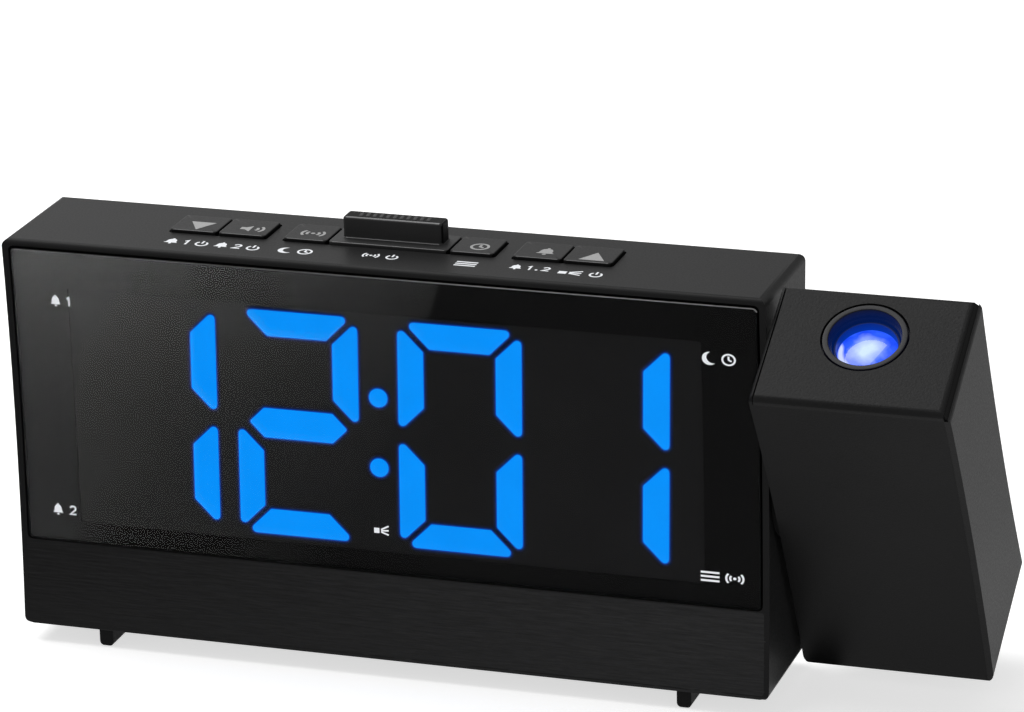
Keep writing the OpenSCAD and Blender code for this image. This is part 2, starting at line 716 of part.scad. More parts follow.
module speaker_frame() color(steel) at(speaker_u, speaker_seat, speaker_v) rotate([90, 0, 0]) {
    r = speaker_d / 2;
    difference() {
        union() {
            cylinder(r = r, h = speaker_flange_t);
            translate([0, 0, speaker_flange_t - 0.01]) cylinder(r1 = r - 2.6, r2 = r * 0.55, h = 4.6);
        }
        translate([0, 0, -eps]) cylinder(r = r - 3.4, h = speaker_flange_t + eps);
        translate([0, 0, speaker_flange_t - 0.02]) cylinder(r1 = r - 3.4, r2 = r * 0.5, h = 3.8);
    }
}
module speaker_magnet() color(steel) at(speaker_u, speaker_seat - speaker_flange_t - 4.59, speaker_v)
    rotate([90, 0, 0]) cylinder(r = speaker_d * 0.3, h = 5);
module speaker_cone() color(rubber_black) at(speaker_u, speaker_seat, speaker_v) rotate([90, 0, 0]) {
    r = speaker_d / 2 - 3.4;
    difference() {
        cylinder(r1 = r, r2 = r * 0.45, h = 3.4);
        translate([0, 0, -0.5]) cylinder(r1 = r, r2 = r * 0.45, h = 3.4);
    }
    intersection() {
        translate([0, 0, 6.2]) sphere(r = r * 0.5);
        translate([0, 0, 1.6]) cylinder(r = r * 0.47, h = 1.6);
    }
}

module dc_jack() color(case_black) difference() {
    union() {
        block([jack_u - 4.5, jack_u + 4.5], [board_back, yb - case_sag - cover_t - 0.4],
            [socket_v - 5, socket_v + 5]);
        at(jack_u, board_back, socket_v) rod_y(jack_nose_r, socket_face - board_back);
    }
    at(jack_u, socket_face - jack_depth, socket_v) difference() {
        rod_y(socket_bore / 2, jack_depth + eps);
        rod_y(socket_pin / 2, jack_depth - 0.9);
    }
}

module usb_port() color(nickel) {
    u = span(usb_u, usb_w);
    v = span(socket_v, usb_h);
    difference() {
        block(u, [board_back, socket_face], v);
        block(inset(u, 0.3), [socket_face - 10, socket_face + eps], inset(v, 0.3));
    }
    block([u[0] + 1, u[1] - 1], [socket_face - 10.5, socket_face - 1], [v[1] - 2.4, v[1] - 0.6]);
}

grommet_lift = 0.2;                             // the flanges are flat and the cover leans
grommet_seat = yb - case_sag * (1 - pow((grommet_v - body_h / 2) / (body_h / 2), 2));
module antenna_grommet() color(rubber_black) at(grommet_u, 0, grommet_v) difference() {
    union() {
        translate([0, grommet_seat - cover_t - 1.1, 0]) rod_y(grommet_r, cover_t + 1.1 + grommet_lift);
        translate([0, grommet_seat + grommet_lift, 0]) rod_y(grommet_r + 1, 0.9);
        translate([0, grommet_seat - cover_t - grommet_lift - 1.1, 0]) rod_y(grommet_r + 0.7, 1.1);
    }
    translate([0, grommet_seat - cover_t - 2, 0]) rod_y(0.9, cover_t + 4);
}

// ---------- battery bay ----------

module battery_tray() color(case_black) difference() {
    difference() {
        block([bay_u - bay_wall, bay_u + bay_len + bay_wall], [bay_floor, yb],
            [bay_v - bay_wall, bay_v + bay_h + bay_wall]);
        behind(cover_t + door_gap);
    }
    block([bay_u, bay_u + bay_len], [bay_floor + bay_wall, yb + 1], [bay_v, bay_v + bay_h]);
}

cell_vs = [bay_v + 0.2 + cell_d / 2, bay_v + bay_h - 0.2 - cell_d / 2];
plus_u = bay_u + contact_t;
module battery_cells() color(board_green) {
    nub = 0.8;
    at(plus_u, cell_y, cell_vs[0]) {
        rod_x(2, nub + 0.1);
        translate([nub, 0, 0]) rod_x(cell_d / 2, cell_len - nub);
    }
    at(bay_u + bay_len - contact_t, cell_y, cell_vs[1]) mirror([1, 0, 0]) {
        rod_x(2, nub + 0.1);
        translate([nub, 0, 0]) rod_x(cell_d / 2, cell_len - nub);
    }
}
module battery_contacts() color(steel) {
    spring_len = bay_len - cell_len - 2 * contact_t;
    for (e = [0, 1], c = [0, 1])
        at(bay_u + e * (bay_len - contact_t), cell_y - 4, cell_vs[c] - 4) cube([contact_t, 8, 8]);
    at(bay_u + contact_t, cell_y, cell_vs[1]) rotate([0, 90, 0]) spring(spring_len);
    at(bay_u + bay_len - contact_t, cell_y, cell_vs[0]) rotate([0, -90, 0]) spring(spring_len);
}
// Cone of touching rings, the plain form of a cell spring
module spring(len) {
    turns = 5;
    pitch = len / turns;
    for (k = [0 : turns - 1]) translate([0, 0, k * pitch]) tube(3.6 - 0.4 * k, 2.6 - 0.4 * k, pitch);
}

module battery_door() color(case_black) difference() {
    union() {
        intersection() {
            back_sheet(door_u, door_v, 0.5, 0, cover_t);
            block([0, body_w], [0, yb + 1], [door_axis_v, body_h]);
        }
        at(door_u[0], door_axis_y, door_axis_v) rod_x(door_knuckle_r, door_u[1] - door_u[0]);
        at(door_u[0] - door_gap - door_pin_len + 0.2, door_axis_y, door_axis_v)
            rod_x(door_pin_r, door_u[1] - door_u[0] + 2 * (door_gap + door_pin_len - 0.2));
    }
    at((door_u[0] + door_u[1]) / 2 - grip_len / 2, door_outer_y + grip_r - grip_depth, door_v[1] - 4.5)
        rod_x(grip_r, grip_len);
}

// ---------- swivel ----------

module swivel_washer() color(rubber_black) translate([x1, 0, zc]) rotate([0, 90, 0])
    tube(shaft_r + 8, shaft_r + run_fit, swivel_gap);

module wave_washer() color(steel) translate([x1 - wall - boss_t - wave_t, 0, zc]) rotate([0, 90, 0])
    tube(shaft_r + 3, shaft_r + door_gap, wave_t);

module on_swivel(dx) translate([x1 + dx, 0, zc]) rotate([rest_tilt, 0, 0]) children();

module hinge_shaft() color(steel) on_swivel(-shaft_in) difference() {
    union() {
        rod_x(shaft_r, shaft_in + swivel_gap + head_wall + pad_t + flange_t);
        translate([shaft_in + swivel_gap + head_wall + pad_t, 0, 0]) rod_x(flange_r, flange_t);
    }
    translate([-eps, 0, 0]) rod_x(shaft_bore / 2, shaft_in + body_d);
    for (a = [90, 210, 330]) translate([shaft_in, flange_screws_r * cos(a), flange_screws_r * sin(a)])
        rod_x(board_screw_r, body_d);
}

module hinge_retainer() color(steel) on_swivel(-wall - boss_t - wave_t - retainer_t) difference() {
    union() {
        rod_x(retainer_r, retainer_t);
        translate([0, -lug_w / 2, -stop_r[1] + 0.15]) cube([retainer_t, lug_w, retainer_r]);
    }
    translate([-eps, 0, 0]) rod_x(shaft_r, retainer_t + 2 * eps);
}

module lead_case() color(rubber_black)
    translate([x0 + lead_u, 0, zc]) rod_x(lead_r, body_w - lead_u + swivel_gap / 2);

module lead_projector() color(rubber_black) {
    run = swivel_gap / 2 + head_wall + pad_t + flange_t - 0.2;
    bend = 2.4;
    on_swivel(swivel_gap / 2) {
        rod_x(lead_r, run);
        translate([run, 0, -bend]) rotate([90, 0, 0]) rotate_extrude(angle = 90)
            translate([bend, 0]) circle(r = lead_r);
        translate([run + bend, 0, lamp_board_z]) cylinder(r = lead_r, h = -bend - lamp_board_z);
    }
}

// ---------- projector head ----------

head_inner_x = head_w - cover_side_t;

module head_outline(cut) {
    arc = head_arc + cut;
    difference() {
        square([head_d - 2 * cut, head_h - 2 * cut], center = true);
        for (s = [-1, 1]) translate([s * (head_d / 2 - head_sag + head_arc), 0]) circle(r = arc, $fn = arc_fn);
    }
}

lamp_posts = [lens_x - lamp_post_dx, lens_x + lamp_post_dx];

module projector_shell() color(case_black) on_head() difference() {
    union() {
        difference() {
            extrude_x(head_inner_x) waisted(head_d, head_h, head_sag, head_r);
            translate([head_wall, 0, 0]) extrude_x(head_w) head_outline(head_wall);
        }
        rod_x(flange_r, head_wall + pad_t);
        for (x = lamp_posts) translate([x, lens_y, -head_top + head_wall / 2])
            cylinder(r = lamp_post_r, h = lamp_board_z - board_t + head_top - head_wall / 2);
    }
    translate([plate_inset - seam, -head_d, head_top - plate_t]) cube([head_w, 2 * head_d, head_d]);
    translate([-eps, 0, 0]) rod_x(shaft_r, head_w / 3);
    for (a = [90, 210, 330]) translate([1, flange_screws_r * cos(a), flange_screws_r * sin(a)])
        rod_x(board_screw_r, head_w / 3);
    for (x = lamp_posts) translate([x, lens_y, lamp_board_z - board_screw_len])
        cylinder(r = board_screw_r, h = board_screw_len);
}

module projector_side_cover() color(case_black) on_head() difference() {
    union() {
        translate([head_inner_x, 0, 0]) extrude_x(cover_side_t) waisted(head_d, head_h, head_sag, head_r);
        translate([head_inner_x - 3, 0, 0]) extrude_x(3 + eps) difference() {
            head_outline(head_wall + seam);
            head_outline(head_wall + 1.4);
        }
    }
    translate([head_inner_x - 0.01, -head_d, head_top - groove_depth]) cube([groove_w, 2 * head_d, head_d]);
    translate([head_inner_x - 4, -head_d, head_top - plate_t - seam]) cube([4, 2 * head_d, head_d]);
}

module projector_top_plate() color(case_black) difference() {
    on_head() intersection() {
        translate([plate_inset, 0, 0]) extrude_x(head_inner_x - plate_inset)
            waisted(head_d, head_h, head_sag, head_r);
        translate([0, -head_d, head_top - plate_t]) cube([head_w, 2 * head_d, head_d]);
    }
    on_lens(head_top - plate_t - eps) cylinder(r = ring_d / 2 + ring_gap, h = plate_t + 2 * eps);
}

module focus_ring() color(satin_black) on_lens(head_top - ring_len) difference() {
    union() {
        cylinder(r = ring_tube_r, h = ring_len);
        translate([0, 0, ring_len - ring_land_h - ring_flange_h])
            cylinder(r = ring_flange_r, h = ring_flange_h);
        translate([0, 0, ring_len - ring_land_h - eps]) cylinder(r = ring_d / 2, h = ring_land_h + eps);
    }
    translate([0, 0, -eps]) cylinder(r = ring_sleeve_r, h = ring_len + 2 * eps);
    translate([0, 0, ring_len - ring_land_h]) cylinder(r = ring_bore / 2, h = ring_land_h + eps);
}

module lens_barrel() color(rubber_black) on_lens(head_top - barrel_drop - barrel_len) difference() {
    cylinder(r = barrel_r, h = barrel_len);
    translate([0, 0, -eps]) cylinder(r = lens_r - 0.9, h = barrel_len + 2 * eps);
    translate([0, 0, barrel_len - lens_h - 0.8]) cylinder(r = lens_r, h = barrel_len);
}

// Lens with two domed faces, standing on its lower rim
module projection_lens() color(clear_glass) on_lens(head_top - barrel_drop - lens_h - 0.8) {
    dome = 1.5;
    ball = (lens_r * lens_r + dome * dome) / (2 * dome);
    intersection() {
        cylinder(r = lens_r, h = lens_h);
        translate([0, 0, lens_h - ball]) sphere(r = ball, $fn = 96);
    }
}

module lamp_house() color(case_black) on_lens(0) difference() {
    union() {
        translate([0, 0, house_step]) cylinder(r = house_r[0], h = house_top - house_step);
        translate([0, 0, house_bottom]) cylinder(r = house_r[1], h = house_step - house_bottom + eps);
        translate([-lamp_post_dx - 2.5, -lamp_ear[0], house_bottom - house_base_t])
            cube([2 * lamp_post_dx + 5, lamp_ear[0] + lamp_ear[1], house_base_t]);
        translate([0, 0, house_bottom - house_base_t]) cylinder(r = house_r[1], h = house_base_t + eps);
    }
    difference() {
        translate([0, 0, house_bottom - house_base_t - eps]) cylinder(r = house_bore_r, h = house_top + 20);
        translate([0, 0, lcd_seat - rib_t]) tube(house_bore_r + 0.2, house_bore_r - 3, rib_t);
        translate([0, 0, condenser_seat - rib_t]) tube(house_bore_r + 0.2, house_bore_r - 1.6, rib_t);
    }
    translate([0, 0, house_step + 0.5]) cylinder(r = house_socket_r, h = house_top);
    for (x = [-1, 1]) translate([x * lamp_post_dx, 0, house_bottom - house_base_t - eps])
        cylinder(r = board_screw_r, h = house_base_t + 2 * eps);
}

module lcd_slide() color(unlit_grey) on_lens(lcd_seat)
    translate([-lcd_size / 2, -lcd_size / 2, 0]) cube([lcd_size, lcd_size, 1.4]);

module condenser_lens() color(clear_glass) on_lens(condenser_seat) {
    r = house_bore_r - 0.3;
    ball = (r * r + 9) / 6;
    intersection() {
        cylinder(r = r, h = 4);
        translate([0, 0, 4 - ball]) sphere(r = ball, $fn = 96);
    }
}

module projector_led() color(lit_blue) on_lens(lamp_board_z) {
    cylinder(r = 2.9, h = 1);
    cylinder(r = 2.5, h = 3.6);
    translate([0, 0, 3.6]) sphere(r = 2.5);
}

module projector_pcb() color(board_green) on_head() difference() {
    translate([lens_x - lamp_post_dx - 3.2, -9.5, lamp_board_z - board_t])
        cube([2 * lamp_post_dx + 6.4, 21, board_t]);
    for (x = lamp_posts) translate([x, lens_y, lamp_board_z - board_t - eps])
        cylinder(r = board_screw_r, h = board_t + 2 * eps);
}

// ---------- fasteners ----------

// Screw with its head's underside at the origin, pointing along -Z
module board_screw(len) {
    cylinder(r = board_screw_head_r, h = board_screw_head_h);
    translate([0, 0, -len]) cylinder(r = board_screw_r, h = len + 0.01);
}

module case_screws() color(steel) for (u = [corner_u, body_w - corner_u], v = [corner_v, corner_top_v])
    at(u, yb - well_depth, v) rotate([-90, 0, 0]) difference() {
        union() {
            cylinder(r = screw_head_r, h = screw_head_h);
            translate([0, 0, -case_screw_len]) cylinder(r = screw_r, h = case_screw_len + 0.01);
        }
        for (a = [0, 90]) rotate(a)
            translate([-screw_slot[0] / 2, -screw_slot[1] / 2, screw_head_h - screw_slot[2]])
                cube([screw_slot[0], screw_slot[1], 1]);
    }

module board_screws() color(steel) {
    for (u = display_post_u, v = display_post_v)
        at(u, display_board_y + board_t, v) rotate([-90, 0, 0]) board_screw(board_screw_len);
    for (p = main_posts)
        at(p[0], main_board_y, p[1]) rotate([90, 0, 0]) board_screw(board_screw_len);
    for (d = key_post_us)
        at(mid_u + d, key_y0 + key_d / 2, key_board_v) rotate([180, 0, 0]) board_screw(board_screw_len);
}

module speaker_screws() color(steel) for (a = [90, 210, 330])
    at(speaker_u + speaker_screw_ring * cos(a), speaker_seat - speaker_flange_t,
        speaker_v + speaker_screw_ring * sin(a)) rotate([90, 0, 0]) {
            cylinder(r = speaker_washer_r, h = board_screw_head_h);
            translate([0, 0, -speaker_screw_len]) cylinder(r = board_screw_r, h = speaker_screw_len + 0.01);
        }

module projector_screws() color(steel) {
    on_swivel(swivel_gap + head_wall + pad_t + flange_t) for (a = [90, 210, 330])
        translate([0, flange_screws_r * cos(a), flange_screws_r * sin(a)])
            rotate([0, 90, 0]) board_screw(4);
    on_head() for (x = lamp_posts)
        translate([x, lens_y, lamp_board_z + house_base_t]) board_screw(board_screw_len);
}

front_case();
front_window();
window_mask();
front_band();
rear_cover();
foot_left();
foot_right();
display_housing();
lit_segments();
unlit_segments();
display_pcb();
display_leds();
main_pcb();
main_chips();
capacitors();
crystal();
button_pcb();
tact_switches();
speaker_frame();
speaker_magnet();
speaker_cone();
dc_jack();
usb_port();
antenna_grommet();
battery_tray();
battery_cells();
battery_contacts();
case_screws();
board_screws();
speaker_screws();
swivel_washer();
wave_washer();
lead_case();
button_down();
button_volume();
button_radio();
snooze_bar();
button_time();
button_alarm();
button_up();
battery_door();
projector_shell();
projector_side_cover();
projector_top_plate();
hinge_shaft();
hinge_retainer();
projector_screws();
lamp_house();
projector_pcb();
projector_led();
condenser_lens();
lcd_slide();
lead_projector();
focus_ring();
lens_barrel();
projection_lens();
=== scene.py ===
"""Looks for the projection alarm clock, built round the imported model."""
import json
import math
import bmesh
import bpy
from mathutils import Matrix, Vector, noise


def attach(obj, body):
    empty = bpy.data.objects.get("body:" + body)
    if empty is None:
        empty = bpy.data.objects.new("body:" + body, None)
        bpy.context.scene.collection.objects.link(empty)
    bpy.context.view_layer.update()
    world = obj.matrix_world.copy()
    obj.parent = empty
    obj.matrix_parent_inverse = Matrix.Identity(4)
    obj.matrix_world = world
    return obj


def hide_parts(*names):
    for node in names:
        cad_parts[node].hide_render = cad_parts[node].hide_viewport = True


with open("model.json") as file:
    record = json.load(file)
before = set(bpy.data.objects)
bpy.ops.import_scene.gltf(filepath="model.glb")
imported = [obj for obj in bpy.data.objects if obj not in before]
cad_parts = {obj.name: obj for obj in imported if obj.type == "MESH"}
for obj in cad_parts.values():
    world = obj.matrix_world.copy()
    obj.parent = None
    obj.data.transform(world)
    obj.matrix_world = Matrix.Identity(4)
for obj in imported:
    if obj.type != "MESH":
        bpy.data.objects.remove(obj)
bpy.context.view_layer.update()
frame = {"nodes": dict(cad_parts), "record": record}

MM = 0.001

# ---------- camera, fitted to the corners of the clock in the photograph ----------

IMAGE_W = 1024                              # the photograph's width in pixels
SENSOR = 36.0
FOCAL_PX = 4888.47
AIM = Vector((2.17, 3.13, 70.76)) * MM
AZIMUTH, ELEVATION, ROLL = (math.radians(a) for a in (18.763, 19.451, -1.55))
DISTANCE = 1065.4 * MM
CLIP = (0.01, 20)
BACK = Vector((math.sin(AZIMUTH) * math.cos(ELEVATION), -math.cos(AZIMUTH) * math.cos(ELEVATION),
               math.sin(ELEVATION)))
EYE = AIM + BACK * DISTANCE


def make_camera():
    level = Vector((0, 0, 1)).cross(BACK).normalized()
    upright = BACK.cross(level)
    right = math.cos(ROLL) * level + math.sin(ROLL) * upright
    up = -math.sin(ROLL) * level + math.cos(ROLL) * upright
    data = bpy.data.cameras.new("camera")
    data.sensor_width = SENSOR
    data.lens = SENSOR * FOCAL_PX / IMAGE_W
    data.clip_start, data.clip_end = CLIP
    cam = bpy.data.objects.new("camera", data)
    cam.matrix_world = Matrix((right, up, BACK)).transposed().to_4x4()
    cam.location = EYE
    bpy.context.scene.collection.objects.link(cam)
    bpy.context.scene.camera = cam


make_camera()

# ---------- places on the model, in millimetres ----------

BODY_W, BODY_H, CASE_SAG = 174.0, 91.4, 1.5
X0, YF, Z0 = -109.05, -16.2, 3.8            # the case's left face, front edge and underside
ZC = Z0 + BODY_H / 2
TOP_Z = Z0 + BODY_H
CASE_ARC = (BODY_H ** 2 / 4 + CASE_SAG ** 2) / (2 * CASE_SAG)
HEAD_X, HEAD_W, HEAD_TOP, TILT = 66.45, 42.6, 44.45, math.radians(29.4)
HEAD_IN, PLATE_X = 41.2, 0.9                # where the head's side cover and its top plate start
LENS_X, LENS_Y = 20.6, 3.3
VIEW_U, VIEW_V = (14.1, 159.2), (24.9, 80.3)            # opening of the mask, from the case's lower left
DIGITS_U, DIGITS_V = 85.7, 52.6                         # middle of the digits
DISPLAY_Y = -13.15


def front_y(z, depth):
    """How far back the case's curved front lies at a height, a depth under its surface."""
    return YF + CASE_SAG - CASE_ARC + math.sqrt((CASE_ARC + depth) ** 2 - (z - ZC) ** 2)


def on_head(x, y, z):
    """Place in the tilted head's frame, which starts at the swivel."""
    return Vector((HEAD_X + x, y * math.cos(TILT) - z * math.sin(TILT),
                   ZC + y * math.sin(TILT) + z * math.cos(TILT)))


def on_lens(x, y, z):
    """Place in the head's frame, x and y from the lens axis."""
    return on_head(LENS_X + x, LENS_Y + y, z)


# ---------- node helpers ----------


def new_material(name):
    m = bpy.data.materials.new(name)
    m.use_nodes = True
    m.cycles.emission_sampling = "NONE"
    m.node_tree.nodes.clear()
    return m, m.node_tree


def add(tree, kind, **values):
    n = tree.nodes.new(kind)
    for k, v in values.items():
        setattr(n, k, v)
    return n


def coords(tree, scale=(1, 1, 1)):
    """Object coordinates in millimetres, stretched."""
    tc = add(tree, "ShaderNodeTexCoord")
    mp = add(tree, "ShaderNodeMapping")
    mp.inputs["Scale"].default_value = [1000 * s for s in scale]
    tree.links.new(tc.outputs["Object"], mp.inputs["Vector"])
    return mp.outputs["Vector"]


def noise_tex(tree, vector, scale, detail=2.0, roughness=0.5):
    n = add(tree, "ShaderNodeTexNoise")
    n.inputs["Scale"].default_value = scale
    n.inputs["Detail"].default_value = detail
    n.inputs["Roughness"].default_value = roughness
    tree.links.new(vector, n.inputs["Vector"])
    return n.outputs["Fac"]


def ramp(tree, fac, stops):
    r = add(tree, "ShaderNodeValToRGB")
    while len(r.color_ramp.elements) < len(stops):
        r.color_ramp.elements.new(0.5)
    for e, (pos, colour) in zip(r.color_ramp.elements, stops):
        e.position = pos
        e.color = (*colour, 1)
    tree.links.new(fac, r.inputs["Fac"])
    return r.outputs["Color"]


def spread(tree, fac, low, high, start=0.3, end=0.7):
    """A value mapped on to a range."""
    m = add(tree, "ShaderNodeMapRange")
    m.inputs["From Min"].default_value = start
    m.inputs["From Max"].default_value = end
    m.inputs["To Min"].default_value = low
    m.inputs["To Max"].default_value = high
    tree.links.new(fac, m.inputs["Value"])
    return m.outputs["Result"]


def bump(tree, height, strength, distance, normal=None):
    b = add(tree, "ShaderNodeBump")
    b.inputs["Strength"].default_value = strength
    b.inputs["Distance"].default_value = distance * MM
    tree.links.new(height, b.inputs["Height"])
    if normal is not None:
        tree.links.new(normal, b.inputs["Normal"])
    return b.outputs["Normal"]


def calc(tree, operation, *values):
    n = add(tree, "ShaderNodeMath", operation=operation)
    for k, v in enumerate(values):
        if isinstance(v, bpy.types.NodeSocket):
            tree.links.new(v, n.inputs[k])
        else:
            n.inputs[k].default_value = v
    return n.outputs[0]


def blend_colours(tree, fac, a, b, kind="MIX"):
    n = add(tree, "ShaderNodeMix", data_type="RGBA", blend_type=kind)
    colour_sockets = [i for i in n.inputs if i.type == "RGBA"]
    for s, v in zip([n.inputs[0]] + colour_sockets, (fac, a, b)):
        if isinstance(v, bpy.types.NodeSocket):
            tree.links.new(v, s)
        else:
            s.default_value = (*v, 1) if isinstance(v, tuple) else v
    return next(o for o in n.outputs if o.type == "RGBA")


def principled(tree, **sockets):
    p = add(tree, "ShaderNodeBsdfPrincipled")
    for k, v in sockets.items():
        s = p.inputs[k.replace("_", " ")]
        if isinstance(v, bpy.types.NodeSocket):
            tree.links.new(v, s)
        elif isinstance(v, tuple) and len(v) == 3 and s.type == "RGBA":
            s.default_value = (*v, 1)
        else:
            s.default_value = v
    out = add(tree, "ShaderNodeOutputMaterial")
    tree.links.new(p.outputs["BSDF"], out.inputs["Surface"])
    return p


def shade(colour, k):
    return tuple(min(1.0, c * k) for c in colour)


# ---------- materials ----------

MATS = {}


def material(key, maker, *args, **kw):
    MATS[key] = maker(key, *args, **kw)


def plastic(name, colour, rough=0.5, spec=0.3, grain=0.45, depth=0.02, strength=0.5, vary=0.2):
    """Moulded plastic with a fine spark grain, faint blotches and uneven gloss."""
    m, t = new_material(name)
    v = coords(t)
    fine = noise_tex(t, v, 1 / grain, 3.0, 0.6)
    broad = noise_tex(t, v, 0.05, 2.0)
    tone = ramp(t, broad, [(0.3, shade(colour, 1 - vary / 2)), (0.7, shade(colour, 1 + vary / 2))])
    speck = ramp(t, fine, [(0.35, (0.84, 0.84, 0.84)), (0.65, (1.0, 1.0, 1.0))])
    principled(t, Base_Color=blend_colours(t, 1.0, tone, speck, "MULTIPLY"),
               Roughness=spread(t, fine, rough - 0.06, rough + 0.06),
               Specular_IOR_Level=spec, Normal=bump(t, fine, strength, depth))
    return m


BLACK = (0.009, 0.009, 0.0092)
material("case_plastic", plastic, BLACK, rough=0.45, spec=0.1, grain=0.4, depth=0.03, strength=0.6)
material("shell_plastic", plastic, BLACK, rough=0.45, spec=0.066, grain=0.4, depth=0.05, strength=0.8)
material("cover_plastic", plastic, BLACK, rough=0.45, spec=0.1, grain=0.5, depth=0.07, strength=0.9)
material("key_plastic", plastic, shade(BLACK, 1.2), rough=0.42, spec=0.11, grain=0.3, depth=0.02)
material("snooze_plastic", plastic, shade(BLACK, 1.2), rough=0.55, spec=0.32, grain=0.3, depth=0.02)
# pale plastic for a painted highlight on the keys' top front edges
material("worn_edge", plastic, (0.2, 0.2, 0.203), rough=0.4, spec=0.3, grain=0.3, depth=0.01)
material("ring_plastic", plastic, shade(BLACK, 1.1), rough=0.36, spec=0.16, grain=0.25, depth=0.008)
material("soft_black", plastic, (0.008, 0.008, 0.008), rough=0.7, spec=0.1, grain=0.6, depth=0.03)
material("chip_black", plastic, (0.02, 0.02, 0.02), rough=0.5, spec=0.3, grain=0.3)
material("display_grey", plastic, (0.07, 0.07, 0.072), rough=0.7, spec=0.1, grain=0.3, depth=0.005)
material("black_print", plastic, (0.0015, 0.0015, 0.0016), rough=0.5, spec=0.05, grain=0.5, depth=0.001)
material("circuit_board", plastic, (0.02, 0.12, 0.05), rough=0.35, spec=0.5, grain=0.8, depth=0.01)
material("cell_jacket", plastic, (0.03, 0.09, 0.25), rough=0.3, spec=0.5, grain=2.0, depth=0.01)
material("led_resin", plastic, (0.75, 0.76, 0.62), rough=0.25, spec=0.5, grain=0.5, depth=0.002)
material("grey_print", plastic, (0.42, 0.42, 0.42), rough=0.5, spec=0.3, grain=0.3, depth=0.002, vary=0.05)


def across(tree, start, end, low, high):
    """A value that runs from low to high between two places along the case."""
    parts = add(tree, "ShaderNodeSeparateXYZ")
    tree.links.new(coords(tree), parts.inputs[0])
    return spread(tree, parts.outputs["X"], low, high, X0 + start, X0 + end)


def acrylic_edge(name, low, high):
    """Polished edge of the window, with a painted highlight that is bright where no sheen lies beside it."""
    m, t = new_material(name)
    fine = noise_tex(t, coords(t), 0.8, 2.0)
    tone = ramp(t, across(t, 60, 110, 0.0, 1.0), [(0.0, (low,) * 3), (1.0, (high,) * 3)])
    speck = ramp(t, fine, [(0.3, (0.8, 0.8, 0.8)), (0.7, (1.0, 1.0, 1.0))])
    principled(t, Base_Color=blend_colours(t, 1.0, tone, speck, "MULTIPLY"), Roughness=0.3,
               Specular_IOR_Level=0.5)
    return m


# painted highlight along the window's edge, dim on the left and bright on the right
material("acrylic_edge", acrylic_edge, 0.12, 0.5)


def grained(name, colour, rough, spec):
    """Embossed horizontal grain, with short fine streaks in long soft ones, and painted shade that makes it
    paler towards the right.
    """
    m, t = new_material(name)
    streak = noise_tex(t, coords(t, (0.14, 0.5, 2.6)), 1.0, 3.0, 0.6)
    fine = noise_tex(t, coords(t, (0.6, 1.0, 8.0)), 1.0, 2.0, 0.6)
    tone = ramp(t, streak, [(0.3, shade(colour, 0.7)), (0.7, shade(colour, 1.35))])
    speck = ramp(t, fine, [(0.3, (0.7, 0.7, 0.7)), (0.7, (1.0, 1.0, 1.0))])
    both = blend_colours(t, 1.0, tone, speck, "MULTIPLY")
    # painted shade that darkens the band towards the case's left
    painted_shade = ramp(t, across(t, 0, 150, 0.0, 1.0), [(0.0, (0.3, 0.3, 0.3)), (1.0, (1.0, 1.0, 1.0))])
    principled(t, Base_Color=blend_colours(t, 1.0, both, painted_shade, "MULTIPLY"),
               Roughness=spread(t, fine, rough - 0.07, rough + 0.07), Specular_IOR_Level=spec,
               Normal=bump(t, streak, 0.6, 0.1, bump(t, fine, 0.6, 0.04)))
    return m


material("band_plastic", grained, shade(BLACK, 3.2), 0.42, 0.11)


def metal(name, colour, rough):
    """Plated metal with faint lines along the case."""
    m, t = new_material(name)
    lines = noise_tex(t, coords(t, (0.1, 1, 1)), 5.0, 2.0)
    tone = ramp(t, lines, [(0.3, shade(colour, 0.88)), (0.7, shade(colour, 1.1))])
    principled(t, Base_Color=tone, Metallic=1.0, Roughness=spread(t, lines, rough - 0.06, rough + 0.06),
               Normal=bump(t, lines, 0.2, 0.005))
    return m


material("steel", metal, (0.56, 0.56, 0.58), 0.35)
material("nickel", metal, (0.66, 0.65, 0.62), 0.25)


def tinted_acrylic(name, alpha, spec):
    m, t = new_material(name)
    haze = noise_tex(t, coords(t), 0.08, 2.0)
    principled(t, Base_Color=ramp(t, haze, [(0.3, (0.002, 0.002, 0.0022)), (0.7, (0.003, 0.003, 0.0033))]),
               Roughness=spread(t, haze, 0.0, 0.004), Specular_IOR_Level=spec, Alpha=alpha)
    return m


material("tinted_window", tinted_acrylic, 0.36, 0.11)


def glow(name, colour, strength):
    m, t = new_material(name)
    soft = noise_tex(t, coords(t), 0.12, 1.0)
    tone = ramp(t, soft, [(0.3, shade(colour, 0.95)), (0.7, colour)])
    principled(t, Base_Color=shade(colour, 0.1), Roughness=0.4, Specular_IOR_Level=0.1,
               Emission_Color=tone, Emission_Strength=strength)
    return m


material("lit_blue", glow, (0.002, 0.278, 0.95), 2.5)
# the white ink also glows: painted light that keeps the marks white
material("white_ink", glow, (0.9, 0.92, 0.95), 0.85)


def strip_values(tree):
    """The two values written on a piece in its UV map."""
    uv = add(tree, "ShaderNodeUVMap", uv_map="strip")
    parts = add(tree, "ShaderNodeSeparateXYZ")
    tree.links.new(uv.outputs["UV"], parts.inputs[0])
    return parts.outputs["X"], parts.outputs["Y"]


def halo(name):
    """Blue light that dies away from a bar's outline."""
    m, t = new_material(name)
    _, near = strip_values(t)
    grey = noise_tex(t, coords(t), 3.0, 2.0)
    light = ramp(t, near, [(0.0, (0.0, 0.0, 0.0)), (0.45, (0.0, 0.008, 0.05)), (1.0, (0.0, 0.06, 0.6))])
    principled(t, Base_Color=ramp(t, grey, [(0.3, (0.06, 0.06, 0.062)), (0.7, (0.07, 0.07, 0.072))]),
               Roughness=0.7, Specular_IOR_Level=0.1, Emission_Color=light, Emission_Strength=2.2)
    return m


material("halo", halo)


FLARES = [                                  # direction across the lens, brightness, start and end
    (-0.87, -0.5, 1.0, 0.62, 0.72), (0.17, -0.98, 1.0, 0.7, 0.8), (0.87, -0.5, 0.5, 0.72, 0.86)]


